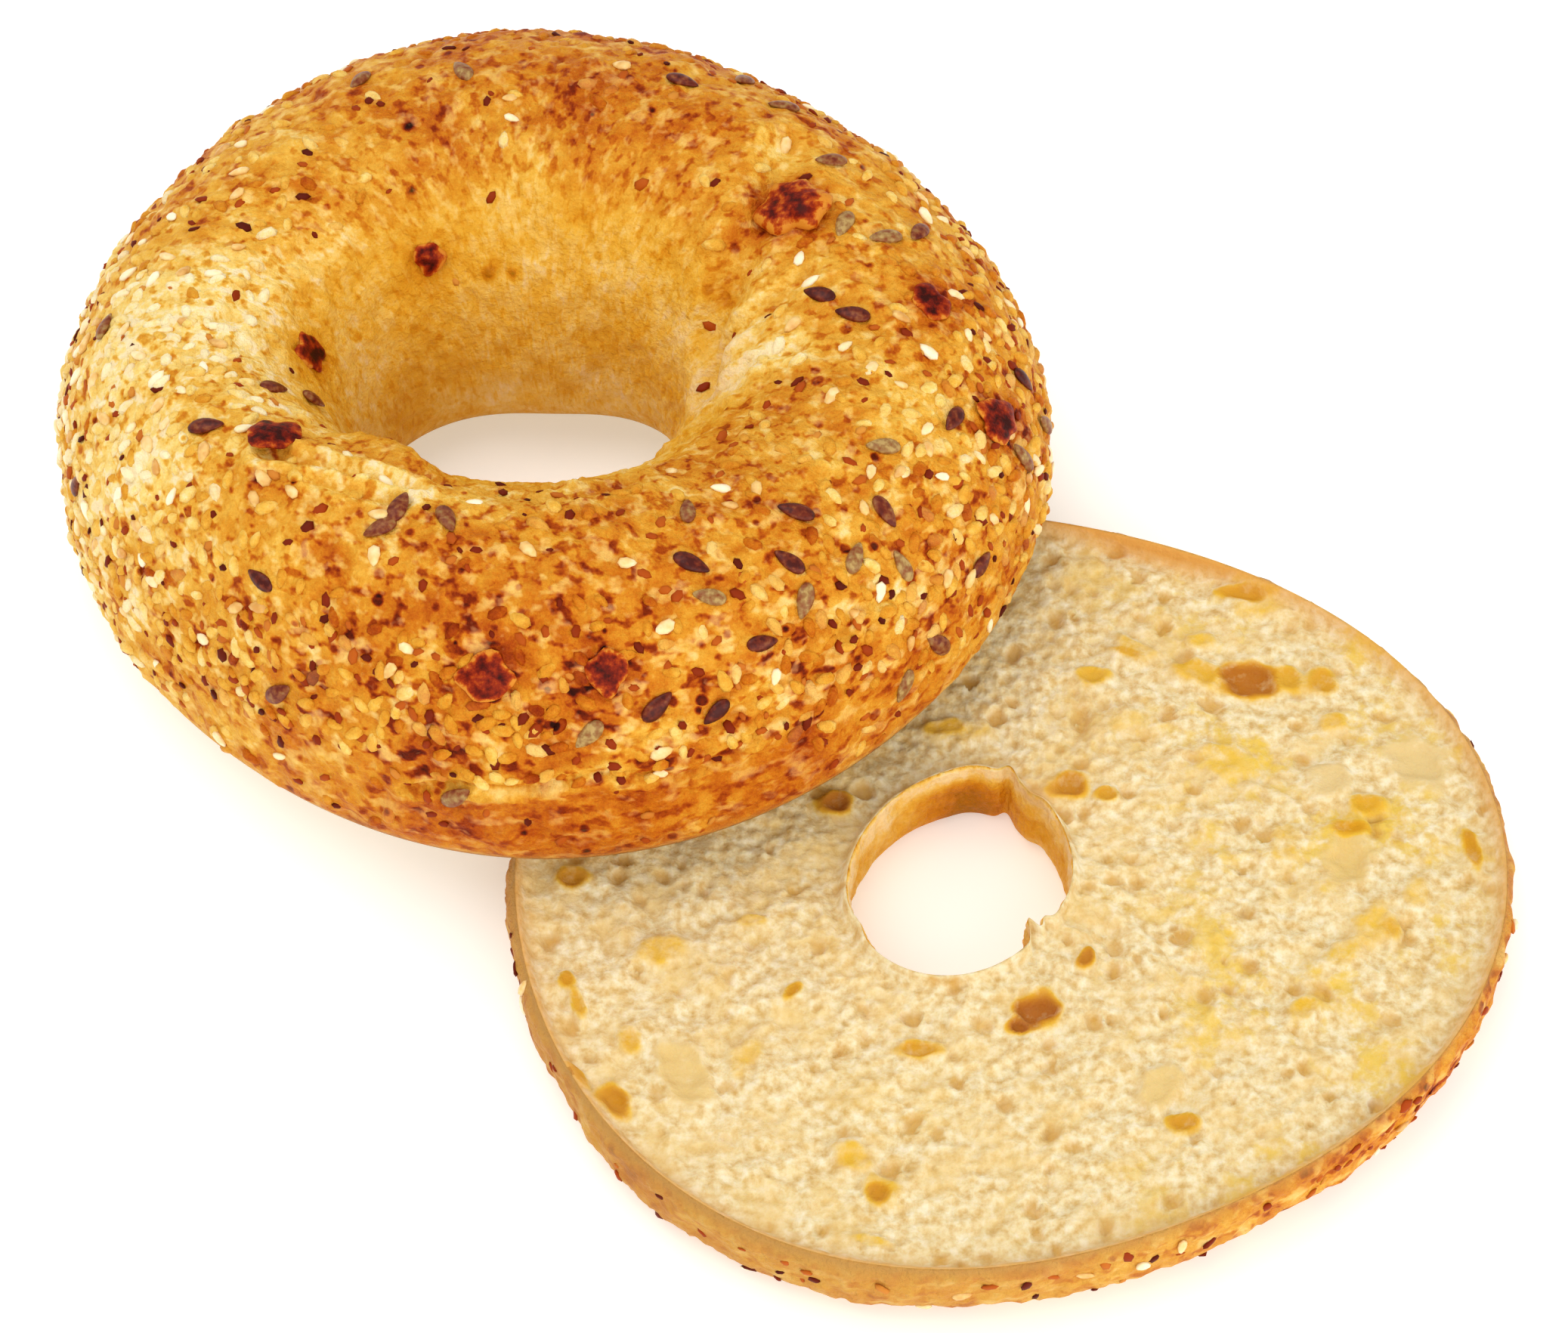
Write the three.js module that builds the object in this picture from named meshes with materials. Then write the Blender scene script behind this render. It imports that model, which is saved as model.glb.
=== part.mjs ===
// A seeded bagel cut across into two halves, in millimetres, with +Z up.
//
// The heel half lies on its flat bottom crust with its cut face up. The crown half leans on
// it, crust up and cut face down: its far edge touches the table, and the heel's rim holds up
// its near side. Flax seeds and toasted onion flakes lie on the crown's crust. The origin is
// the middle of the whole footprint, at table height.

import * as THREE from 'three';
import { mergeVertices } from 'three/addons/utils/BufferGeometryUtils.js';

// ---------------------------------------------------------------------------------------------
// Driving dimensions, in millimetres and degrees. A list of numbers that describes a ring is a
// wave around it: mean, cosine 1, sine 1, cosine 2, sine 2 and so on.

const CROWN = {
  cutRadius: [61.7, 1.4, 1.4, -0.4, -2.6, 0.5, 0, 0.7, 0.4],
  holeRadius: [18.3, -1.7, -3.8, 2.4, 0.3],
  height: [33.4, -3.0, 0, -2.0, 1.8],
  widestLevel: 5.6, // above the cut face
  undersideReach: 18.6, // how far below its widest level the uncut ring would go
  centre: [-30.7, 22.6],
  tiltAboutX: -6.5,
  tiltAboutY: -4.6,
};

const HEEL = {
  cutRadius: [56.2, -0.6, 0.1, 3.5, 0.5, 1.8, 0.5],
  holeRadius: [13.4, -5.1, -0.4, 0.1, 1.0, 0.3, -0.5],
  thickness: 12,
  outerCorner: 5.5,
  holeCorner: 3.5,
  centre: [26.1, -37.0],
};

const FLAX = { length: 4.9, width: 2.4, thickness: 1.0, taper: 0.3 };
const FLAKE = { widthPerLength: 0.8, thickness: 1.3, raggedness: 0.14 };
const CRUST_GAP = 0.45; // between the crust and what lies on it

const SEGMENTS_AROUND = 64;
const STEPS_OVER_CROWN = 26;
const STEPS_IN_CORNER = 4;

const MATERIALS = {
  crust: { color: '#c98136', roughness: 0.55 },
  heel: { color: '#e6cb8e', roughness: 0.85 },
  flax: { color: '#5b4038', roughness: 0.35 },
  flake: { color: '#8c2f10', roughness: 0.5 },
};

// Places on the crown's crust. `around` turns with the ring, from +X. `over` climbs the dome:
// 0 is the widest level outside, 90 the ridge and 180 the wall of the hole. `heading` turns a
// seed's long axis from the way round the ring to the way up the dome.
// Each row is [around, over, heading].
const FLAX_PLACES = [
  [101, 83, 113], [118, 73, 38], [62, 76, 7], [58, 53, 94], [48, 61, 53], [32, 72, 66],
  [19, 83, 134], [15, 73, 87], [16, 61, 127], [4, 99, 55], [359, 90, 71], [358, 29, 84],
  [356, 14, 114], [347, 26, 87], [344, 53, 170], [334, 68, 125], [332, 20, 5], [326, 56, 79],
  [322, 12, 120], [323, 41, 86], [318, 51, 30], [316, 72, 127], [316, 8, 49], [310, 61, 115],
  [309, 49, 50], [302, 89, 61], [302, 44, 168], [298, 72, 135], [298, 61, 150], [294, 31, 30],
  [288, 36, 35], [280, 31, 45], [264, 12, 40], [262, 92, 122], [254, 93, 89], [252, 81, 45],
  [242, 26, 46], [237, 53, 170], [213, 83, 50], [203, 120, 107], [200, 138, 98], [196, 29, 70],
  [179, 60, 155],
];

// Each row is [around, over, heading, length].
const FLAKE_PLACES = [
  [26, 94, 20, 7.0], [128, 138, 70, 4.0], [224, 97, 10, 6.0], [179, 137, 60, 5.0],
  [269, 46, 0, 6.0], [283, 47, 80, 5.0], [2, 65, 40, 5.0], [348, 40, 110, 6.0],
];

// ---------------------------------------------------------------------------------------------
// Helpers

const radians = THREE.MathUtils.degToRad;

function wave(terms, around) {
  let value = terms[0];
  for (let k = 1; 2 * k < terms.length; k += 1) {
    value += terms[2 * k - 1] * Math.cos(k * around) + terms[2 * k] * Math.sin(k * around);
  }
  return value;
}

// A closed ring from a closed outline of [radius, level] points. The outline runs up the
// outside and down through the hole.
function ringGeometry(outlineAt) {
  const positions = [];
  const indices = [];
  const count = outlineAt(0).length;
  for (let i = 0; i < SEGMENTS_AROUND; i += 1) {
    const around = (2 * Math.PI * i) / SEGMENTS_AROUND;
    for (const [radius, level] of outlineAt(around)) {
      positions.push(radius * Math.cos(around), radius * Math.sin(around), level);
    }
    const here = i * count;
    const next = ((i + 1) % SEGMENTS_AROUND) * count;
    for (let j = 0; j < count; j += 1) {
      const above = (j + 1) % count;
      indices.push(here + j, next + j, next + above, here + j, next + above, here + above);
    }
  }
  const geometry = new THREE.BufferGeometry();
  geometry.setAttribute('position', new THREE.Float32BufferAttribute(positions, 3));
  geometry.setIndex(indices);
  geometry.computeVertexNormals();
  return geometry;
}

// A three.js solid with its seams closed and its shape changed by `move`.
function reshaped(geometry, move) {
  geometry.deleteAttribute('normal');
  geometry.deleteAttribute('uv');
  const closed = mergeVertices(geometry);
  const places = closed.getAttribute('position');
  const point = new THREE.Vector3();
  for (let i = 0; i < places.count; i += 1) {
    point.fromBufferAttribute(places, i);
    move(point);
    places.setXYZ(i, point.x, point.y, point.z);
  }
  closed.computeVertexNormals();
  return closed;
}

function namedMesh(name, geometry, look) {
  const mesh = new THREE.Mesh(geometry, new THREE.MeshStandardMaterial({ metalness: 0, ...look }));
  mesh.name = name;
  return mesh;
}

// ---------------------------------------------------------------------------------------------
// The crown half: an ellipse swept round the ring and cut flat below its widest level.

const cutDepth = CROWN.widestLevel / CROWN.undersideReach;
const cutAngle = -Math.asin(cutDepth);

function crownPoint(around, over) {
  const outer = wave(CROWN.cutRadius, around);
  const inner = wave(CROWN.holeRadius, around);
  const halfWidth = (outer - inner) / 2 / Math.sqrt(1 - cutDepth ** 2);
  const climb = wave(CROWN.height, around) - CROWN.widestLevel;
  const reach = over > 0 && over < Math.PI ? climb : CROWN.undersideReach;
  const radius = (outer + inner) / 2 + halfWidth * Math.cos(over);
  return [radius, CROWN.widestLevel + reach * Math.sin(over)];
}

function crownOutline(around) {
  const outline = [];
  for (let j = 0; j <= STEPS_OVER_CROWN; j += 1) {
    const over = THREE.MathUtils.lerp(cutAngle, Math.PI - cutAngle, j / STEPS_OVER_CROWN);
    outline.push(crownPoint(around, over));
  }
  return outline;
}

// ---------------------------------------------------------------------------------------------
// The heel half: a flat ring with upright sides and rounded bottom corners.

function heelOutline(around) {
  const outer = wave(HEEL.cutRadius, around);
  const inner = wave(HEEL.holeRadius, around);
  const outline = [];
  for (let j = 0; j <= STEPS_IN_CORNER; j += 1) {
    const turn = ((j / STEPS_IN_CORNER) * Math.PI) / 2;
    const radius = outer - HEEL.outerCorner * (1 - Math.sin(turn));
    outline.push([radius, HEEL.outerCorner * (1 - Math.cos(turn))]);
  }
  outline.push([outer, HEEL.thickness], [inner, HEEL.thickness]);
  for (let j = STEPS_IN_CORNER; j >= 0; j -= 1) {
    const turn = ((j / STEPS_IN_CORNER) * Math.PI) / 2;
    const radius = inner + HEEL.holeCorner * (1 - Math.sin(turn));
    outline.push([radius, HEEL.holeCorner * (1 - Math.cos(turn))]);
  }
  return outline;
}

// ---------------------------------------------------------------------------------------------
// What lies on the crown's crust

function crustPoint(around, over) {
  const [radius, level] = crownPoint(around, over);
  return new THREE.Vector3(radius * Math.cos(around), radius * Math.sin(around), level);
}

// Stands a mesh on the crust, with its long axis along its heading.
function layOnCrust(mesh, place, thickness) {
  const [around, over, heading] = place.map(radians);
  const step = 0.001;
  const foot = crustPoint(around, over);
  const roundRing = crustPoint(around + step, over).sub(foot).normalize();
  const upDome = crustPoint(around, over + step).sub(foot).normalize();
  const outward = roundRing.clone().cross(upDome).normalize();
  const long = roundRing.clone().applyAxisAngle(outward, heading);
  const across = outward.clone().cross(long);
  mesh.quaternion.setFromRotationMatrix(new THREE.Matrix4().makeBasis(long, across, outward));
  mesh.position.copy(foot).addScaledVector(outward, CRUST_GAP + thickness / 2);
}

// A flat drop: round behind, narrower in front along +X.
function flaxGeometry() {
  const sphere = new THREE.SphereGeometry(0.5, 6, 5).rotateZ(Math.PI / 2);
  return reshaped(sphere, (point) => {
    const narrowing = 1 - FLAX.taper * point.x;
    point.set(point.x * FLAX.length, point.y * FLAX.width * narrowing, point.z * FLAX.thickness);
  });
}

// A curled scrap of onion, lumpier than a pebble.
function flakeGeometry(length) {
  return reshaped(new THREE.IcosahedronGeometry(0.5, 1), (point) => {
    const bump = Math.sin(9 * point.x + 2 * length) * Math.cos(7 * point.y - length);
    const width = length * FLAKE.widthPerLength * (1 + FLAKE.raggedness * bump);
    const reach = length * (1 + FLAKE.raggedness * Math.sin(8 * point.y));
    point.set(point.x * reach, point.y * width, point.z * FLAKE.thickness);
  });
}

// ---------------------------------------------------------------------------------------------
// The bagel

const crown = new THREE.Group();
crown.add(namedMesh('crown_half', ringGeometry(crownOutline), MATERIALS.crust));
FLAX_PLACES.forEach((place, i) => {
  const name = `flax_seed_${String(i + 1).padStart(2, '0')}`;
  const seed = namedMesh(name, flaxGeometry(), MATERIALS.flax);
  layOnCrust(seed, place, FLAX.thickness);
  crown.add(seed);
});
FLAKE_PLACES.forEach(([around, over, heading, length], i) => {
  const flake = namedMesh(`toasted_flake_${i + 1}`, flakeGeometry(length), MATERIALS.flake);
  layOnCrust(flake, [around, over, heading], FLAKE.thickness);
  crown.add(flake);
});
crown.position.set(...CROWN.centre, 0);
crown.rotation.set(radians(CROWN.tiltAboutX), radians(CROWN.tiltAboutY), 0, 'YXZ');
crown.updateMatrixWorld(true);
crown.position.z = -new THREE.Box3().setFromObject(crown, true).min.z; // its low edge on the table

const heel = new THREE.Group();
heel.add(namedMesh('heel_half', ringGeometry(heelOutline), MATERIALS.heel));
heel.position.set(...HEEL.centre, 0);

const bagel = new THREE.Group();
bagel.add(crown, heel);
bagel.updateMatrixWorld(true);
const extent = new THREE.Box3().setFromObject(bagel, true);
const middle = extent.getCenter(new THREE.Vector3());
bagel.position.set(-middle.x, -middle.y, -extent.min.z);

export default bagel;
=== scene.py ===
# %% [markdown]
# # A seeded bagel, sliced in two
# A bagel is a ring of boiled and baked dough. This one is cut across: the thin heel half lies
# cut face up, and the domed crown half leans on its rim. A plain CAD model already gives both
# halves, the larger seeds and their places, so this lesson only makes them look like bread.
# Every length is in metres, in the CAD model's own frame.

# %% Load the CAD model
import math

import bpy
import numpy as np
from mathutils import Matrix, Vector
from mathutils.bvhtree import BVHTree


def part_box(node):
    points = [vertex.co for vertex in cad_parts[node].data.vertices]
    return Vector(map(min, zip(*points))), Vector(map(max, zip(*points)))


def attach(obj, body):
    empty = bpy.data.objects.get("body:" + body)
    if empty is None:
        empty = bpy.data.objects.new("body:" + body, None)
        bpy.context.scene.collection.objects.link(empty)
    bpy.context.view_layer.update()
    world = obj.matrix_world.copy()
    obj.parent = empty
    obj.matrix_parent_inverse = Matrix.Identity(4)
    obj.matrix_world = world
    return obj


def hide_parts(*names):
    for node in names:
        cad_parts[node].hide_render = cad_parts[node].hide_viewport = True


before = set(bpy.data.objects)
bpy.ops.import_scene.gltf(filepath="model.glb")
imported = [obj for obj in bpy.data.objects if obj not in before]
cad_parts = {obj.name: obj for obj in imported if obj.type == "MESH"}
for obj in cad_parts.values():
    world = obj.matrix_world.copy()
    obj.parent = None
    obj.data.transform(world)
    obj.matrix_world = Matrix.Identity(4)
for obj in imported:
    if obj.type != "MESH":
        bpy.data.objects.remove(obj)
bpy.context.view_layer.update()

MM = 0.001

# %% [markdown]
# ## Camera and light
# A camera with a long lens looks down at the bread from in front, as a cook does over a board.
# The light is a broad window high on the left, a bounce from in front and a weaker fill from the
# right, in a bright room, so that shadows stay soft. One small lamp would be simpler, but its
# hard shadows would hide the crumb. These come first because every finish is judged under them.

# %% Camera
CAMERA_LENS = 100
CAMERA_ELEVATION = math.radians(56)
CAMERA_DISTANCE = 0.555
CAMERA_AIM = Vector((2.6, 0.9, 0)) * MM

camera_data = bpy.data.cameras.new("camera")
camera_data.lens = CAMERA_LENS
camera = bpy.data.objects.new("camera", camera_data)
away = Vector((0, -math.cos(CAMERA_ELEVATION), math.sin(CAMERA_ELEVATION)))
camera.location = CAMERA_AIM + away * CAMERA_DISTANCE
camera.rotation_euler = (math.pi / 2 - CAMERA_ELEVATION, 0, 0)
bpy.context.scene.collection.objects.link(camera)
bpy.context.scene.camera = camera
print("camera height, mm:", round(camera.location.z / MM))


# %% A colour from its hex code
def srgb(code):
    """The linear colour, with alpha 1, of an sRGB code such as "#e39a35"."""
    channels = [int(code[i:i + 2], 16) / 255 for i in (1, 3, 5)]
    return (*[c / 12.92 if c <= 0.04045 else ((c + 0.055) / 1.055) ** 2.4 for c in channels], 1)


# %% Lights
# Each light: place and side in metres, watts and colour.
LIGHTS = {
    "window": ((-0.29, 0.12, 0.79), 0.8, 3.6, "#fffdf8"),
    "front_bounce": ((0.15, -0.80, 0.45), 0.8, 3.2, "#fffcf6"),
    "side_fill": ((0.72, -0.38, 0.24), 0.6, 2.3, "#fffaf2"),
}
ROOM_COLOUR = "#ffffff"
ROOM_STRENGTH = 0.66


def soft_light(name, place, side, watts, colour):
    """A square area light, turned towards the bread."""
    data = bpy.data.lights.new(name, "AREA")
    data.size = side
    data.energy = watts
    data.color = srgb(colour)[:3]
    light = bpy.data.objects.new(name, data)
    light.location = place
    light.rotation_euler = Vector(place).to_track_quat("Z", "Y").to_euler()
    bpy.context.scene.collection.objects.link(light)


for light_name, settings in LIGHTS.items():
    soft_light(light_name, *settings)

room = bpy.data.worlds.new("room")
room.use_nodes = True
background = room.node_tree.nodes["Background"]
background.inputs["Color"].default_value = srgb(ROOM_COLOUR)
background.inputs["Strength"].default_value = ROOM_STRENGTH
bpy.context.scene.world = room
bpy.context.scene.view_settings.view_transform = "Standard"
print("lights:", len(LIGHTS), "and a bright room")

# %% [markdown]
# ## Helpers for node trees
# Both geometry trees and materials are node trees. One function adds a node, sets it and wires
# it, so that each tree below reads as a list of steps.


# %% Adding a node
def socket_named(sockets, key):
    """A socket by number, or by name among those that the node's settings switch on."""
    if isinstance(key, int):
        return sockets[key]
    return next(s for s in sockets if s.name == key and s.enabled)


def add(tree, kind, settings=None, inputs=None, output=None):
    """Adds a node and returns one output. An input is a value or another node's output."""
    node = tree.nodes.new(kind)
    for name, value in (settings or {}).items():
        setattr(node, name, value)
    for key, value in (inputs or {}).items():
        socket = socket_named(node.inputs, key)
        if isinstance(value, bpy.types.NodeSocket):
            tree.links.new(value, socket)
        else:
            socket.default_value = value
    if not len(node.outputs):
        return node
    return node.outputs[0] if output is None else socket_named(node.outputs, output)


# %% A geometry tree with named inputs
def geometry_tree(name, inputs):
    """A new geometry tree. inputs are (name, kind of socket); its Geometry comes first."""
    tree = bpy.data.node_groups.new(name, "GeometryNodeTree")
    for label, kind in [("Geometry", "Geometry"), *inputs]:
        tree.interface.new_socket(name=label, in_out="INPUT", socket_type="NodeSocket" + kind)
    tree.interface.new_socket(name="Geometry", in_out="OUTPUT", socket_type="NodeSocketGeometry")
    given = tree.nodes.new("NodeGroupInput")
    return tree, {s.name: s for s in given.outputs if s.name}


def finish_tree(tree, geometry, material, where=True):
    """Ends a tree: instances become real mesh, and the mesh, or a part of it, gets its material."""
    real = add(tree, "GeometryNodeRealizeInstances", inputs={"Geometry": geometry})
    dressed = add(tree, "GeometryNodeSetMaterial", inputs={
        "Geometry": real, "Selection": where, "Material": material})
    tree.links.new(dressed, tree.nodes.new("NodeGroupOutput").inputs[0])


def run_tree(base, tree, values, name):
    """Runs a tree on an object and returns the result as a plain object of its own."""
    modifier = base.modifiers.new(tree.name, "NODES")
    modifier.node_group = tree
    for item in tree.interface.items_tree:
        if item.in_out == "INPUT" and item.name in values:
            modifier[item.identifier] = values[item.name]
    ready = base.evaluated_get(bpy.context.evaluated_depsgraph_get())
    mesh = bpy.data.meshes.new_from_object(ready)
    mesh.name = name
    base.modifiers.remove(modifier)
    piece = bpy.data.objects.new(name, mesh)
    bpy.context.scene.collection.objects.link(piece)
    print(name, "triangles:", sum(len(p.vertices) - 2 for p in mesh.polygons))
    return piece


# %% Numbers in and out of a mesh
def read_points(mesh):
    """The places of a mesh's vertices, one row each."""
    flat = np.empty(len(mesh.vertices) * 3)
    mesh.vertices.foreach_get("co", flat)
    return flat.reshape(-1, 3)


def store_attribute(mesh, name, values):
    """Stores a number on each vertex, for trees and materials to read."""
    attribute = mesh.attributes.get(name) or mesh.attributes.new(name, "FLOAT", "POINT")
    attribute.data.foreach_set("value", np.asarray(values, float).ravel())

# %% [markdown]
# ## The shape of each half
# The dough was a rope closed into a ring, so each half is one outline swept round a ring. The
# outline changes slowly on the way round, and a wave of a few terms says how. The same waves
# shaped the CAD model, and the CAD model's boxes say where each half stands. Formulas give an
# even, closed grid of points, which a modelled or remeshed blob wouldn't.


# %% Waves round the ring
def wave(terms, around):
    """A wave round the ring, in metres: mean, cosine 1, sine 1, cosine 2 and so on, in mm."""
    value = np.full_like(around, terms[0])
    for k in range(1, (len(terms) + 1) // 2):
        value += terms[2 * k - 1] * np.cos(k * around) + terms[2 * k] * np.sin(k * around)
    return value * MM


def ramp(low, high, value):
    """0 below low and 1 above high, with a soft change between them."""
    share = np.clip((value - low) / (high - low), 0, 1)
    return share * share * (3 - 2 * share)


def near_angle(around, degrees, width):
    """A soft bump of height 1 round the ring, centred on an angle."""
    turn = (np.degrees(around) - degrees + 180) % 360 - 180
    return np.exp(-(turn / width) ** 2)


def around_steps(count):
    """Angles round the ring, as a column."""
    return np.linspace(0, 2 * math.pi, count, endpoint=False)[:, None]


# %% Putting a grid of points where the CAD model has its part
def middle(node):
    """The middle of a CAD node's box."""
    low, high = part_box(node)
    return np.array((low + high) / 2)


def shift_to(node, grid):
    """How far a grid has to move for its box to share its middle with the CAD node's box."""
    return middle(node) - (grid.min((0, 1)) + grid.max((0, 1))) / 2


# %% The crown's dome
CROWN_CUT_RADIUS = [61.7, 1.4, 1.4, -0.4, -2.6, 0.5, 0, 0.7, 0.4]
CROWN_HOLE_RADIUS = [18.3, -1.7, -3.8, 2.4, 0.3]
CROWN_HEIGHT = [33.4, -3.0, 0, -2.0, 1.8]
CROWN_WIDEST_LEVEL = 5.6 * MM
CROWN_UNDERSIDE_REACH = 18.6 * MM
CROWN_TILT_X = math.radians(-6.5)
CROWN_TILT_Y = math.radians(-4.6)
CROWN_STEPS = (640, 130, 24)  # round the ring, over the dome and across the cut face

cut_depth = CROWN_WIDEST_LEVEL / CROWN_UNDERSIDE_REACH
cut_angle = -math.asin(cut_depth)
tilt = Matrix.Rotation(CROWN_TILT_Y, 3, "Y") @ Matrix.Rotation(CROWN_TILT_X, 3, "X")
lean = np.array(tilt).T  # transposed, because points are rows


def crown_point(around, over):
    """A point of the dome before it leans. over is 0 at the widest level, 90 degrees on the ridge."""
    outer = wave(CROWN_CUT_RADIUS, around)
    inner = wave(CROWN_HOLE_RADIUS, around)
    half_width = (outer - inner) / 2 / math.sqrt(1 - cut_depth ** 2)
    climb = wave(CROWN_HEIGHT, around) - CROWN_WIDEST_LEVEL
    reach = np.where(np.sin(over) > 0, climb, CROWN_UNDERSIDE_REACH)
    radius = (outer + inner) / 2 + half_width * np.cos(over)
    level = CROWN_WIDEST_LEVEL + reach * np.sin(over)
    return np.stack([radius * np.cos(around), radius * np.sin(around), level], -1)


turns, dome_steps, cut_steps = CROWN_STEPS
crown_around = around_steps(turns)
crown_over = np.linspace(cut_angle, math.pi - cut_angle, dome_steps)[None, :]
dome = crown_point(crown_around, crown_over)
across = np.linspace(0, 1, cut_steps + 2)[None, 1:-1, None]
cut_face = dome[:, -1:] * (1 - across) + dome[:, :1] * across
crown_grid = np.concatenate([dome, cut_face], 1) @ lean
crown_shift = shift_to("crown_half", crown_grid)
crown_grid += crown_shift
past_box = crown_grid.max((0, 1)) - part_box("crown_half")[1]
print("crown fits its CAD box within, mm:", np.round(past_box / MM, 2))


# %% The heel's flat ring
HEEL_CUT_RADIUS = [56.2, -0.6, 0.1, 3.5, 0.5, 1.8, 0.5]
HEEL_HOLE_RADIUS = [13.4, -5.1, -0.4, 0.1, 1.0, 0.3, -0.5]
HEEL_OUTER_CORNER = 5.5 * MM
HEEL_HOLE_CORNER = 1.6 * MM
HEEL_STEPS = 600
HEEL_CUT_STEPS = 112
CORNER_STEPS = 9
WALL_STEPS = 12
# Where the knife tore the rim of the hole: degrees round, width in degrees, push outwards in mm.
HOLE_NICKS = [(84, 4.2, 1.3), (70, 7, -0.7), (100, 12, 0.5), (293, 4, -2.6), (305, 5, -1.0), (205, 6, -0.6)]


def heel_outline(around, thickness):
    """Distance from the middle and height of the outline, with one row for each angle."""
    outer = wave(HEEL_CUT_RADIUS, around)
    inner = wave(HEEL_HOLE_RADIUS, around)
    for angle, width, push in HOLE_NICKS:
        inner = inner + push * MM * near_angle(around, angle, width)
    turn = np.linspace(0, math.pi / 2, CORNER_STEPS)[None, :]
    wall = np.linspace(0, 1, WALL_STEPS + 2)[None, 1:-1]
    across = np.linspace(0, 1, HEEL_CUT_STEPS)[None, :]
    radius = [
        outer - HEEL_OUTER_CORNER * (1 - np.sin(turn)),
        outer + 0 * wall,
        outer * (1 - across) + inner * across,
        inner + 0 * wall,
        inner + HEEL_HOLE_CORNER * (1 - np.cos(turn)),
    ]
    level = [
        HEEL_OUTER_CORNER * (1 - np.cos(turn)),
        HEEL_OUTER_CORNER * (1 - wall) + thickness * wall,
        thickness + 0 * across,
        thickness * (1 - wall) + HEEL_HOLE_CORNER * wall,
        HEEL_HOLE_CORNER * (1 - np.sin(turn)),
    ]
    radius.append(radius[-1][:, -1:] * (1 - wall) + radius[0][:, :1] * wall)  # the base
    level.append(0 * wall)
    everywhere = np.ones_like(around)
    return [np.concatenate([part * everywhere for part in parts], 1) for parts in (radius, level)]


heel_low, heel_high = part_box("heel_half")
heel_around = around_steps(HEEL_STEPS)
heel_radius, heel_level = heel_outline(heel_around, (heel_high - heel_low).z)
heel_sides = [heel_radius * np.cos(heel_around), heel_radius * np.sin(heel_around), heel_level]
heel_grid = np.stack(heel_sides, -1)
heel_middle = shift_to("heel_half", heel_grid)
heel_grid += heel_middle
print("heel's middle, mm:", np.round(heel_middle / MM, 1), "points:", heel_grid.shape[:2])


# %% From a grid of points to a closed mesh
FLOW_RADIUS = 42 * MM  # a pattern is true to size at this radius, and drawn out further out


def flow_places(turns, count, up):
    """Places for patterns that follow the rope: round one circle, and up the outline."""
    around = around_steps(turns)
    places = [FLOW_RADIUS * np.cos(around), FLOW_RADIUS * np.sin(around), up]
    return np.stack([np.broadcast_to(side, (turns, count)) for side in places], -1)


def ring_object(name, grid, numbers, up):
    """A ring from points [around, outline, xyz] that close both ways, with numbers stored on them."""
    turns, count = grid.shape[:2]
    i, j = np.meshgrid(np.arange(turns), np.arange(count), indexing="ij")
    next_i, next_j = (i + 1) % turns, (j + 1) % count
    corners = [i * count + j, next_i * count + j, next_i * count + next_j, i * count + next_j]
    mesh = bpy.data.meshes.new(name)
    mesh.from_pydata(grid.reshape(-1, 3), [], np.stack(corners, -1).reshape(-1, 4))
    mesh.polygons.foreach_set("use_smooth", np.ones(len(mesh.polygons), bool))
    for label, values in numbers.items():
        store_attribute(mesh, label, np.broadcast_to(values, (turns, count)))
    flow = mesh.attributes.new("flow", "FLOAT_VECTOR", "POINT")
    flow.data.foreach_set("vector", flow_places(turns, count, up).ravel())
    ring = bpy.data.objects.new(name, mesh)
    bpy.context.scene.collection.objects.link(ring)
    return ring

# %% [markdown]
# ## Creases, folds and torn pockets
# A baker reads a bagel by its flaws: the valley where the ends of the dough rope were joined,
# the lips where the skin stretched as it rose, and the gas pockets that the knife opened.
# They are few and have their own places, so they are listed one by one, in degrees on the dome
# and millimetres on the cut face. The small regular roughness is left to a node tree.


# %% Distance to a set of spots
def distance_to(points, spots):
    """Each point's distance to the nearest spot."""
    nearest = np.full(points.shape[:-1], np.inf)
    for spot in spots:
        nearest = np.minimum(nearest, np.linalg.norm(points - spot, axis=-1))
    return nearest


def on_crown(places):
    """Places on the dome, given as degrees around and over it, as points in the frame."""
    around, over = np.radians(np.array(places, float)).T
    return crown_point(around, over) @ lean + crown_shift


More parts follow.
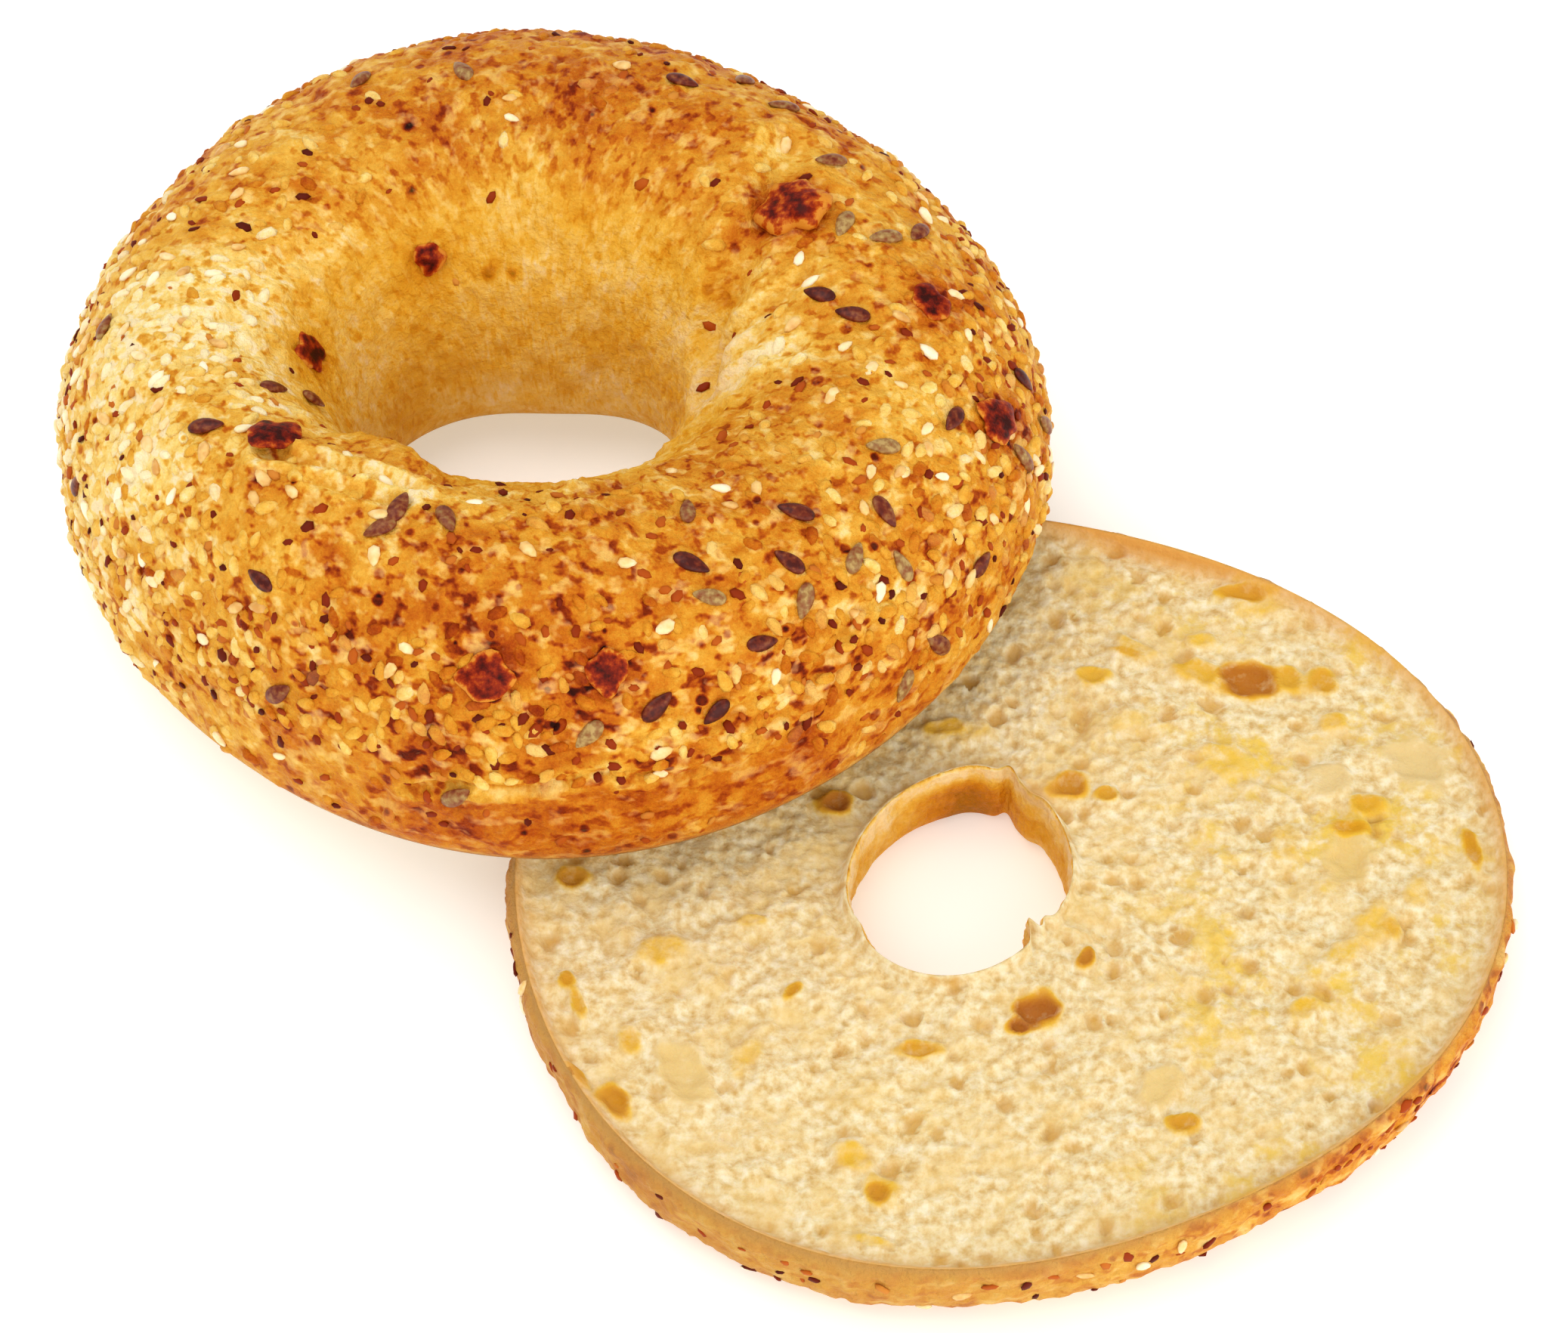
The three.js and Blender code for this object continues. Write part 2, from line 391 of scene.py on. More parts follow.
# %% Creases in the crown's crust
# Each crease: points on the dome in degrees (around, over), depth, width, lip height in mm and
# how pale the stretched skin is.
CREASES = [
    ([(336, 152), (350, 144), (10, 137), (20, 118), (29, 98), (38, 78)], 1.5, 2.6, 0.5, 0.35),
    ([(353, 150), (2, 132), (6, 112), (10, 100)], 0.5, 1.2, 0.4, 0.8),
    ([(342, 140), (350, 122), (352, 106)], 0.4, 1.0, 0.3, 0.7),
    ([(258, 11), (264, 15), (272, 16), (280, 20), (286, 17), (290, 14), (297, 19)], 0.5, 0.8, 0.6, 0.9),
    ([(283, 28), (288, 27), (294, 26), (300, 31)], 0.4, 0.8, 0.4, 0.7),
    ([(298, 20), (304, 25), (309, 33), (315, 39)], 0.4, 0.9, 0.5, 0.4),
    ([(312, 41), (316, 37), (319, 36)], 0.3, 0.7, 0.4, 0.8),
    ([(268, 112), (282, 108), (296, 112)], 0.5, 2.0, 0.3, 0.3),
    ([(150, 120), (165, 112), (182, 108)], 0.5, 1.6, 0.3, 0.2),
    ([(232, 129), (240, 126), (248, 123)], -1.8, 3.2, 0.0, 0.1),
    ([(257, 117), (266, 115), (276, 113)], 0.7, 4.0, 0.0, 0.0),
    ([(226, 91), (232, 96), (238, 100), (246, 103), (254, 105)], 0.9, 1.3, 0.8, 0.9),
    ([(238, 90), (246, 93), (254, 96)], 0.5, 1.0, 0.5, 0.6),
]


POINTS_PER_STOP = 12  # along a crease's line
# Distances from a crease's middle line, in crease widths.
LIP_AWAY = 1.7
LIP_WIDTH = 0.8
PALE_AWAY = 1.2
PALE_WIDTH = 1.1


def crease_numbers(points):
    """How deep the creases cut each point, in metres, and how pale they leave it."""
    hollow = np.zeros(points.shape[:-1])
    pale = np.zeros(points.shape[:-1])
    for places, depth, width, lip, paleness in CREASES:
        stops = on_crown(places)
        share = np.linspace(0, len(stops) - 1, POINTS_PER_STOP * len(stops))
        line = np.stack([np.interp(share, np.arange(len(stops)), side) for side in stops.T], -1)
        away = distance_to(points, line) / (width * MM)
        raised = lip * np.exp(-((away - LIP_AWAY) / LIP_WIDTH) ** 2)
        hollow += MM * (depth * np.exp(-away ** 2) - raised)
        pale = np.maximum(pale, paleness * np.exp(-((away - PALE_AWAY) / PALE_WIDTH) ** 2))
    return hollow, pale


print("creases:", len(CREASES))


# %% Gas pockets in the heel's cut face
# Each pocket: x and y from the heel's middle, length, width, heading in degrees, depth, and how
# dark its walls are, from 0 to 1: partly their own golden colour, partly painted shade.
POCKETS = [
    (31.6, 28.0, 7.4, 4.8, -5, 3.0, 0.95), (36.4, 28.0, 4.0, 3.4, -5, 1.8, 0.50),
    (25.6, 28.9, 6.0, 3.8, -20, 0.9, 0.42), (40.6, 27.5, 4.2, 3.4, 0, 1.6, 0.55),
    (32.0, 40.8, 6.4, 2.6, -8, 1.8, 0.60), (8.8, 12.4, 4.8, 3.2, 12, 2.2, 0.75),
    (13.2, 10.9, 2.8, 2.2, 0, 1.4, 0.55), (3.8, -19.0, 5.2, 4.2, 20, 3.2, 1.00),
    (1.6, -21.0, 2.6, 2.2, 0, 2.6, 1.00), (-10.3, -24.3, 5.0, 2.4, 0, 2.0, 0.55),
    (-46.0, -31.2, 4.6, 3.2, -50, 2.4, 0.70), (-50.2, -28.2, 4.0, 1.2, -52, 1.2, 0.60),
    (20.3, -34.2, 3.4, 2.8, 0, 1.8, 0.60), (42.2, 2.0, 7.4, 5.2, 75, 2.6, 0.12),
    (42.6, 6.4, 4.6, 2.0, 0, 1.8, 0.60), (51.6, 15.6, 8.0, 6.4, -30, 2.0, 0.05),
    (40.6, 13.0, 5.0, 4.4, 0, 1.0, 0.05), (-38.0, -27.4, 9.4, 5.0, -62, 2.2, 0.10),
    (45.0, 9.6, 4.2, 2.6, 0, 1.4, 0.50), (57.2, 3.2, 5.2, 1.8, 97, 1.5, 0.65),
    (-51.6, -0.7, 3.6, 3.2, 0, 2.0, 0.70), (-19.9, 9.9, 4.2, 2.8, 0, 2.2, 0.95),
    (-15.3, -43.3, 2.8, 2.6, 0, 1.8, 0.70), (-18.2, -38.6, 4.4, 3.0, -40, 0.7, 0.35),
    (12.3, 28.3, 4.2, 2.6, 0, 1.5, 0.40), (9.8, -12.1, 2.8, 1.7, 60, 1.4, 0.85),
    (-6.3, 20.8, 5.0, 2.4, 5, 1.0, 0.45), (16.8, 31.9, 4.0, 1.3, -20, 1.0, 0.50),
    (17.8, -29.5, 6.4, 4.0, 60, 1.2, 0.10), (35.4, -19.0, 5.0, 2.8, 40, 0.8, 0.35),
    (-25.2, -16.8, 2.8, 1.4, 45, 1.2, 0.60), (-52.0, -15.0, 2.4, 1.8, -80, 1.2, 0.60),
    (-50.5, -18.4, 4.0, 1.5, -72, 1.2, 0.50), (-44.2, -23.2, 3.0, 2.8, -60, 0.9, 0.45),
    (-16.0, -49.5, 4.6, 1.4, -12, 0.8, 0.30), (41.6, 21.6, 3.0, 2.4, 0, 0.9, 0.40),
    (26.0, 33.6, 3.4, 2.2, 0, 0.9, 0.30), (46.5, -8.0, 2.4, 2.8, 60, 0.9, 0.45),
    (-30.0, -7.0, 3.0, 1.6, 0, 0.7, 0.35), (-41.0, -11.0, 5.6, 3.4, 10, 0.5, 0.36),
    (34.6, 4.3, 6.0, 3.6, 70, 0.3, 0.28), (44.6, -7.2, 6.0, 4.0, 60, 0.4, 0.30),
    (40.6, -11.4, 5.0, 3.0, 40, 0.4, 0.30), (-14.6, -42.8, 5.0, 3.0, -40, 0.5, 0.36),
    (-4.4, 20.2, 7.0, 3.6, 10, 0.3, 0.30), (-30.7, -25.4, 5.0, 3.0, 60, 0.3, 0.26),
    (27.6, 16.2, 6.0, 4.0, -20, 0.3, 0.28), (17.6, 32.4, 6.0, 3.0, -30, 0.4, 0.32),
    (32.9, 39.6, 7.0, 3.4, -8, 0.4, 0.34), (50.0, -3.0, 4.0, 3.0, 80, 0.3, 0.26),
]
POCKET_SPREAD = 1.35  # the soft edge reaches this much further out than the size given


def pocket_numbers(points):
    """Where pockets cut each point: how deep, in metres, how dark the walls are, partly as painted shade, and
    how smooth.
    """
    hollow = np.zeros(points.shape[:-1])
    brown = np.zeros(points.shape[:-1])
    smooth = np.zeros(points.shape[:-1])
    flat = points[..., :2] / MM
    # Waves 3 to 4 mm long bend the edges, so that no pocket is a true oval
    wobble = 0.07 * np.sin(1.7 * flat[..., 0] + 0.6 * flat[..., 1]) + 0.07 * np.sin(2.1 * flat[..., 1])
    for x, y, length, width, heading, depth, wall_darkness in POCKETS:
        turn = math.radians(heading)
        east, north = flat[..., 0] - x, flat[..., 1] - y
        along = (east * math.cos(turn) + north * math.sin(turn)) / (POCKET_SPREAD * length / 2)
        aside = (north * math.cos(turn) - east * math.sin(turn)) / (POCKET_SPREAD * width / 2)
        inside = 1 - np.hypot(along, aside) - wobble
        hollow = np.maximum(hollow, 0.8 * depth * MM * ramp(-0.05, 0.75, inside))
        brown = np.maximum(brown, wall_darkness * ramp(-0.20, 0.50, inside))
        smooth = np.maximum(smooth, min(1, 0.4 + 0.5 * depth) * ramp(-0.10, 0.45, inside))
    return hollow, brown, smooth


print("pockets:", len(POCKETS))


# %% Scorched and pale spots on the crown
# Each spot: degrees around and over the dome, radius in mm, and how much more toasted it is.
SPOTS = [
    (56, 101, 4.0, 0.16), (108, 96, 5.0, 0.12), (77, 85, 5.0, 0.12), (159, 86, 3.0, 0.22),
    (178, 139, 2.2, 0.25), (198, 108, 3.0, 0.18), (246, 69, 3.0, 0.14), (269, 47, 3.6, 0.10),
    (282, 46, 3.6, 0.08), (271, 55, 2.5, 0.10), (260, 22, 3.0, 0.12), (276, 33, 3.0, 0.08),
    (4, 64, 3.4, 0.16), (19, 129, 2.4, 0.16), (350, 37, 3.0, 0.18), (130, 166, 3.0, 0.14),
    (26, 94, 5.2, 0.26), (115, 99, 0.7, 0.7), (122, 119, 0.6, 0.7), (108, 145, 0.8, 0.7),
    (98, 146, 0.8, 0.7), (229, 80, 0.7, 0.6), (39, 85, 3.0, -0.16), (82, 122, 6.0, -0.10),
    (182, 96, 5.0, -0.08), (210, 52, 6.0, -0.08), (348, 80, 4.0, -0.10), (351, 144, 4.0, -0.04),
    (348, 121, 5.0, -0.14), (114, 175, 5.0, -0.12), (56, 178, 4.0, -0.12), (260, 99, 4.0, -0.08),
]


def scorch_numbers(points):
    """How much more or less toasted the spots leave each point."""
    change = np.zeros(points.shape[:-1])
    for centre, (_, _, radius, more) in zip(on_crown([spot[:2] for spot in SPOTS]), SPOTS):
        change += more * np.exp(-(distance_to(points, [centre]) / (radius * MM)) ** 2)
    return change


print("scorched and pale spots:", len(SPOTS))


# %% Numbers for the crown's grid
FLAX_NODES = sorted(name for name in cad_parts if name.startswith("flax_seed"))
FLAKE_NODES = sorted(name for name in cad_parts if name.startswith("toasted_flake"))


def rim_distance(grid, first, last):
    """Each point's distance to the cut's rim, which lies in two columns of the grid."""
    outer = np.linalg.norm(grid - grid[:, first:first + 1], axis=-1)
    inner = np.linalg.norm(grid - grid[:, last:last + 1], axis=-1)
    return np.minimum(outer, inner)


on_dome = (np.arange(dome_steps + cut_steps) < dome_steps)[None, :]
crown_rim = rim_distance(crown_grid, 0, dome_steps - 1)
over = np.degrees(np.concatenate([crown_over, np.full((1, cut_steps), 0.0)], 1))
flake_spots = np.array([middle(node) for node in FLAKE_NODES])
flax_spots = np.array([middle(node) for node in FLAX_NODES])
flake_away = distance_to(crown_grid, flake_spots) / MM
flax_away = distance_to(crown_grid, flax_spots) / MM
crease_depth, crease_pale = crease_numbers(crown_grid)

front = near_angle(crown_around, 280, 75)
left = near_angle(crown_around, 190, 38)
right = near_angle(crown_around, 345, 40)
back = near_angle(crown_around, 95, 60)
outside = 1 - ramp(35, 75, over)
in_hole = ramp(112, 138, over)
low_front_toast_and_shade = near_angle(crown_around, 275, 55) * (1 - ramp(15, 45, over))
smooth_band = front * (1 - ramp(12, 19, over))

# Darker behind and in front, and paler on the left and down in the hole
crown_toast = 0.37 + 0.10 * front - 0.24 * left - 0.04 * right + 0.08 * back + 0.16 * back * outside
crown_toast = crown_toast + in_hole * (0.265 - crown_toast)
crown_toast = crown_toast + 0.24 * np.exp(-(flake_away / 4.0) ** 2)
# The low front band is darkened further: partly toasting, partly painted shade where it faces down
crown_toast = crown_toast + scorch_numbers(crown_grid) + 0.10 * low_front_toast_and_shade
crown_toast = np.where(on_dome, crown_toast - 0.20 * crease_pale, 0.5)
crown_freckles = 0.65 + 0.20 * front + 0.25 * left + 0.25 * outside
crown_freckles = crown_freckles * (1 - 0.35 * in_hole) * (1 - 0.5 * smooth_band)
# How thickly toppings lie: they keep clear of flax, onion and rim, and thin out in the hole
clear = ramp(2.2, 3.4, flax_away) * ramp(2.4, 3.4, flake_away) * on_dome
clear = clear * ramp(1.5 * MM, 3 * MM, crown_rim)
fresh = 0.05 + 0.75 * left + 0.42 * right + 0.05 * front + 0.32 * back * outside
fresh = fresh * (1 - ramp(95, 118, over))
baked = 0.07 + 0.75 * left + 0.30 * right + 0.02 * front + 0.75 * outside
baked = baked * (1 - ramp(105, 128, over))
bran = (0.15 + 0.7 * outside + 0.25 * front) * (1 - 0.9 * in_hole)
# The back of the ridge settled by a millimetre
settled = 1.0 * MM * near_angle(crown_around, 92, 50) * ramp(15, 50, over) * (1 - ramp(95, 125, over))
crown_numbers = {
    "crust": on_dome * ramp(0, 2.5 * MM, crown_rim),
    "crumb": ~on_dome * ramp(0, 1.5 * MM, crown_rim),
    "hollow": on_dome * (crease_depth + settled) * ramp(0, 4 * MM, crown_rim),
    "toast": crown_toast,
    "freckles": crown_freckles,
    "brown": np.zeros_like(crown_rim),
    "smooth": np.zeros_like(crown_rim),
    "yolky": np.zeros_like(crown_rim),
    "tanned": 0.8 * np.exp(-crown_rim / (0.9 * MM)),
    "steamed": 0.45 * in_hole * on_dome,
    "fresh_sesame": clear * fresh * (1 - smooth_band),
    "baked_sesame": clear * baked * (1 - smooth_band),
    "bran": clear * bran * (1 - 0.8 * smooth_band),
}
print("flax seeds and onion flakes in the CAD model:", len(FLAX_NODES), len(FLAKE_NODES))


# %% Numbers for the heel's grid
cut_start = CORNER_STEPS + WALL_STEPS
cut_end = cut_start + HEEL_CUT_STEPS - 1
column = np.arange(heel_grid.shape[1])[None, :]
on_cut = (column >= cut_start) & (column <= cut_end)
on_base = column > cut_end + WALL_STEPS + CORNER_STEPS
on_side = column < cut_start
heel_rim = rim_distance(heel_grid, cut_start, cut_end)
pocket_depth, pocket_darkness, pocket_smooth = pocket_numbers(heel_grid - heel_middle)
above_base = ramp(0.2 * MM, 3.0 * MM, heel_grid[..., 2])
in_heel_hole = (column > cut_end) & ~on_base
outer_rim = np.linalg.norm(heel_grid - heel_grid[:, cut_start:cut_start + 1], axis=-1)
tan = 0.85 * np.exp(-outer_rim / (0.9 * MM))
tan += 0.7 * near_angle(heel_around, 66, 13) * np.exp(-((heel_rim / (2.2 * MM)) ** 2))
tan += 0.55 * on_side * (1 - near_angle(heel_around, 330, 45))
side = on_side * above_base * ramp(0, 2 * MM, heel_rim)
heel_toast = 0.37 + 0.12 * near_angle(heel_around, 345, 45) + 0.08 * near_angle(heel_around, 200, 40)
heel_freckles = 0.55 + 0.35 * near_angle(heel_around, 330, 40)
behind = near_angle(heel_around, 102, 24)
hole_toast = 0.02 + 0.24 * ramp(0.8 * MM, 7 * MM, heel_rim)
hole_toast = hole_toast + 0.50 * behind * ramp(1.2 * MM, 4.2 * MM, heel_rim)
heel_numbers = {
    "crust": 0.9 * (~on_cut & ~on_base) * above_base * ramp(0, 1.2 * MM, heel_rim),
    "crumb": on_cut * ramp(0, 1.3 * MM, heel_rim) * (1 - 0.8 * pocket_smooth),
    "hollow": on_cut * pocket_depth * ramp(0.3 * MM, 2 * MM, heel_rim) - 0.8 * MM * side,
    "toast": np.where(in_heel_hole, hole_toast, np.where(on_base, 0.55, heel_toast)),
    "freckles": np.where(in_heel_hole, 0.15, heel_freckles),
    "brown": on_cut * pocket_darkness,
    "smooth": on_cut * pocket_smooth,
    "yolky": 0.12 + 0.88 * ramp(2 * MM, 34 * MM, heel_grid[..., 0] - heel_middle[0]),
    "tanned": tan,
    "steamed": 0.4 * in_heel_hole,
    "side_seeds": on_side * above_base * ramp(0.8 * MM, 2 * MM, heel_rim),
}
print("deepest pocket, mm:", np.round(pocket_depth.max() / MM, 1))

# %% [markdown]
# ## Crust and crumb
# A boiled dough gelatinises, so a bagel's crust is thin, tight and faintly glossy. It browns
# unevenly: freckles where starch blistered, near-black specks where bran burnt, pale lines where
# the skin stretched late in the oven. One number, how toasted a point is, collects all of this,
# with a little painted shade on the crown's low front, and a colour ramp turns it into a colour.
# The crumb is matt and lets a little light in.


# %% Starting and ending a material
def start_material(name):
    """An empty material and its tree."""
    made = bpy.data.materials.new(name)
    made.use_nodes = True
    made.node_tree.nodes.clear()
    return made, made.node_tree


def end_material(tree, inputs):
    """Ends a material in one shader with these inputs."""
    surface = add(tree, "ShaderNodeBsdfPrincipled", inputs=inputs)
    add(tree, "ShaderNodeOutputMaterial", inputs={"Surface": surface})


def set_ramp(colour, stops):
    """Gives the ramp behind a colour output its stops: position and hex code."""
    elements = colour.node.color_ramp.elements
    while len(elements) < len(stops):
        elements.new(0.5)
    for element, (position, code) in zip(elements, stops):
        element.position = position
        element.color = srgb(code)


# %% Boiled and baked crust
CRUST_TOASTING = [
    (0.00, "#feedbe"), (0.14, "#f8d57a"), (0.28, "#ebb344"), (0.42, "#da9226"), (0.54, "#c97012"),
    (0.66, "#ad4a08"), (0.78, "#842702"), (0.90, "#561502"), (1.00, "#2c0801"),
]


def crust_material():
    """Boiled, baked wheat crust: golden to burnt, thin and tight, with a soft sheen."""
    made, tree = start_material("baked_wheat_crust")
    place = add(tree, "ShaderNodeTexCoord", output="Object")
    toast = add(tree, "ShaderNodeAttribute", {"attribute_name": "toast"}, output="Fac")
    freckles = add(tree, "ShaderNodeAttribute", {"attribute_name": "freckles"}, output="Fac")
    lump = add(tree, "ShaderNodeAttribute", {"attribute_name": "lump"}, output="Fac")
    tint = add(tree, "ShaderNodeAttribute", {"attribute_name": "tint"}, output="Fac")
    flow = add(tree, "ShaderNodeAttribute", {"attribute_name": "flow"}, output="Vector")

    # Clouds of browning about 9 mm wide
    cloud = add(tree, "ShaderNodeTexNoise", inputs={"Vector": place, "Scale": 1 / 0.009, "Detail": 3.0})
    clouded = add(tree, "ShaderNodeMapRange", inputs={
        "Value": cloud, "From Min": 0.3, "From Max": 0.7, "To Min": -0.10, "To Max": 0.10})
    # Mottling from 3 mm down to a fine grain
    mottle = add(tree, "ShaderNodeTexNoise", inputs={
        "Vector": place, "Scale": 1 / 0.003, "Detail": 5.0, "Roughness": 0.75})
    mottled = add(tree, "ShaderNodeMapRange", inputs={
        "Value": mottle, "From Min": 0.35, "From Max": 0.65, "To Min": -0.10, "To Max": 0.10})
    # Starch freckles 1 to 2 mm wide, drawn out along the rolled rope
    freckle = add(tree, "ShaderNodeTexNoise", inputs={
        "Vector": flow, "Scale": 1 / 0.0017, "Detail": 2.0, "Roughness": 0.5})
    freckled = add(tree, "ShaderNodeMapRange", inputs={
        "Value": freckle, "From Min": 0.53, "From Max": 0.66, "To Min": 0.0, "To Max": 0.29})
    shown_freckles = add(tree, "ShaderNodeMath", {"operation": "MULTIPLY"}, {0: freckled, 1: freckles})
    # Pale stretched skin between the freckles, in short streaks
    streak = add(tree, "ShaderNodeTexNoise", inputs={
        "Vector": flow, "Scale": 1 / 0.0023, "Detail": 2.0, "Roughness": 0.6})
    stretched = add(tree, "ShaderNodeMapRange", inputs={
        "Value": streak, "From Min": 0.33, "From Max": 0.47, "To Min": -0.22, "To Max": 0.0})
    pale = add(tree, "ShaderNodeMath", {"operation": "MULTIPLY"}, {0: stretched, 1: freckles})
    # Burnt specks up to 1.7 mm wide, in about half the cells of a 3.4 mm pattern
    specks = {"Vector": place, "Scale": 1 / 0.0034}
    speck = add(tree, "ShaderNodeTexVoronoi", inputs=specks, output="Distance")
    lot = add(tree, "ShaderNodeTexVoronoi", inputs=specks, output="Color")
    chance = add(tree, "ShaderNodeSeparateColor", inputs={"Color": lot}, output="Red")
    size = add(tree, "ShaderNodeMapRange", inputs={
        "Value": chance, "From Min": 0.45, "From Max": 1.0, "To Min": 0.0, "To Max": 0.26})
    nearness = add(tree, "ShaderNodeMath", {"operation": "SUBTRACT"}, {0: size, 1: speck})
    specked = add(tree, "ShaderNodeMapRange", inputs={
        "Value": nearness, "From Min": -0.03, "From Max": 0.06, "To Min": 0.0, "To Max": 0.38})
    shown_specks = add(tree, "ShaderNodeMath", {"operation": "MULTIPLY"}, {0: specked, 1: freckles})

    total = toast
    for part in (clouded, mottled, shown_freckles, pale, shown_specks, lump, tint):
        total = add(tree, "ShaderNodeMath", {"operation": "ADD"}, {0: total, 1: part})
    colour = add(tree, "ShaderNodeValToRGB", inputs={"Fac": total}, output="Color")
    set_ramp(colour, CRUST_TOASTING)
    # The stretched skin is floury as well as pale
    floury = add(tree, "ShaderNodeMapRange", inputs={
        "Value": pale, "From Min": -0.22, "From Max": 0.0, "To Min": 0.36, "To Max": 0.0})
    colour = add(tree, "ShaderNodeMix", {"data_type": "RGBA"}, {
        "Factor": floury, "A": colour, "B": srgb("#ecc284")}, "Result")
    # Where the crust stayed soft it is a dull tan
    tanned = add(tree, "ShaderNodeAttribute", {"attribute_name": "tanned"}, output="Fac")
    colour = add(tree, "ShaderNodeMix", {"data_type": "RGBA"}, {
        "Factor": tanned, "A": colour, "B": srgb("#bb8b49")}, "Result")
    # Where steam kept it moist, down in the hole, it is a clear yellow
    steamed = add(tree, "ShaderNodeAttribute", {"attribute_name": "steamed"}, output="Fac")
    colour = add(tree, "ShaderNodeMix", {"data_type": "RGBA"}, {
        "Factor": steamed, "A": colour, "B": srgb("#e0a012")}, "Result")

    # Skin wrinkles 0.9 mm apart and finer, which the mesh can't carry
    skin = add(tree, "ShaderNodeTexNoise", inputs={
        "Vector": place, "Scale": 1 / 0.0009, "Detail": 4.0, "Roughness": 0.6})
    bump = add(tree, "ShaderNodeBump", inputs={"Height": skin, "Strength": 0.8, "Distance": 0.0009})
    rough = add(tree, "ShaderNodeMapRange", inputs={
        "Value": freckle, "From Min": 0.3, "From Max": 0.7, "To Min": 0.40, "To Max": 0.58})
    end_material(tree, {
        "Base Color": colour, "Roughness": rough, "Normal": bump, "IOR": 1.45,
        "Subsurface Weight": 0.08, "Subsurface Radius": (1.0, 0.45, 0.15), "Subsurface Scale": 0.0015,
        "Specular IOR Level": 0.07, "Coat Weight": 0.02, "Coat Roughness": 0.25,
    })
    return made


BAKED_CRUST = crust_material()
print("made", BAKED_CRUST.name)


# %% Open wheat crumb
def crumb_material():
    """Open wheat crumb, cut with a knife: cream, matt, with yellow patches, painted shade in the pores, and
    pocket walls that are partly painted shade.
    """
    made, tree = start_material("cut_wheat_crumb")
    place = add(tree, "ShaderNodeTexCoord", output="Object")
    pore_and_shade = add(tree, "ShaderNodeAttribute", {"attribute_name": "pore_and_shade"}, output="Fac")
    brown = add(tree, "ShaderNodeAttribute", {"attribute_name": "brown"}, output="Fac")

    # Cell walls and the small cells between them, 1.3 mm across
    grain = add(tree, "ShaderNodeTexNoise", inputs={
        "Vector": place, "Scale": 1 / 0.0013, "Detail": 3.0, "Roughness": 0.55})
    colour = add(tree, "ShaderNodeValToRGB", inputs={"Fac": grain}, output="Color")
    set_ramp(colour, [(0.30, "#cba766"), (0.43, "#dabf8a"), (0.53, "#e2cfa0"), (0.68, "#ecdfbe")])
    # Clumps of crumb 6 mm across, paler or more golden
    clump = add(tree, "ShaderNodeTexNoise", inputs={"Vector": place, "Scale": 1 / 0.006, "Detail": 2.0})
    golden = add(tree, "ShaderNodeMapRange", inputs={
        "Value": clump, "From Min": 0.46, "From Max": 0.70, "To Min": 0.0, "To Max": 0.6})
    colour = add(tree, "ShaderNodeMix", {"data_type": "RGBA"}, {
        "Factor": golden, "A": colour, "B": srgb("#dfbf7c")}, "Result")
    # Yolk-yellow flecks about 2 mm across, in drifts about 12 mm across
    fleck = add(tree, "ShaderNodeTexNoise", inputs={
        "Vector": place, "Scale": 1 / 0.0022, "Detail": 3.0, "Roughness": 0.6})
    drift = add(tree, "ShaderNodeTexNoise", inputs={"Vector": place, "Scale": 1 / 0.012, "Detail": 1.0})
    together = add(tree, "ShaderNodeMath", {"operation": "ADD"}, {0: fleck, 1: drift})
    yellow = add(tree, "ShaderNodeMapRange", inputs={
        "Value": together, "From Min": 1.05, "From Max": 1.25, "To Min": 0.0, "To Max": 0.8})
    yolky = add(tree, "ShaderNodeAttribute", {"attribute_name": "yolky"}, output="Fac")
    yellow = add(tree, "ShaderNodeMath", {"operation": "MULTIPLY"}, {0: yellow, 1: yolky})
    colour = add(tree, "ShaderNodeMix", {"data_type": "RGBA"}, {
        "Factor": yellow, "A": colour, "B": srgb("#dfb93a")}, "Result")
    # Painted shade: where pores sink, the crumb is darkened to a tan
    colour = add(tree, "ShaderNodeMix", {"data_type": "RGBA"}, {
        "Factor": pore_and_shade, "A": colour, "B": srgb("#cf9f4a")}, "Result")
    # A closed bubble's wall is smooth: cream, or golden to brown, partly its own colour and partly painted
    # shade, darkest in the deep pockets
    smooth = add(tree, "ShaderNodeAttribute", {"attribute_name": "smooth"}, output="Fac")
    wall_colour_and_shade = add(tree, "ShaderNodeValToRGB", inputs={"Fac": brown}, output="Color")
    set_ramp(wall_colour_and_shade, [(0.0, "#d8c08e"), (0.3, "#dfb43a"), (0.6, "#cc9014"), (1.0, "#ac6008")])
    halo = add(tree, "ShaderNodeMapRange", inputs={
        "Value": brown, "From Min": 0.02, "From Max": 0.52, "To Min": 0.0, "To Max": 1.0})
    lined = add(tree, "ShaderNodeMath", {"operation": "MAXIMUM"}, {0: smooth, 1: halo})
    # Torn cell walls break up its edge
    torn = add(tree, "ShaderNodeMapRange", inputs={
        "Value": fleck, "From Min": 0.3, "From Max": 0.7, "To Min": -0.32, "To Max": 0.32})
    ragged = add(tree, "ShaderNodeMath", {"operation": "ADD"}, {0: lined, 1: torn})
    lined = add(tree, "ShaderNodeMapRange", inputs={
        "Value": ragged, "From Min": 0.16, "From Max": 0.95, "To Min": 0.0, "To Max": 0.94})
    colour = add(tree, "ShaderNodeMix", {"data_type": "RGBA"}, {
        "Factor": lined, "A": colour, "B": wall_colour_and_shade}, "Result")
    # The last millimetre under the crust is tanned
    tanned = add(tree, "ShaderNodeAttribute", {"attribute_name": "tanned"}, output="Fac")
    colour = add(tree, "ShaderNodeMix", {"data_type": "RGBA"}, {
        "Factor": tanned, "A": colour, "B": srgb("#d39a4c")}, "Result")

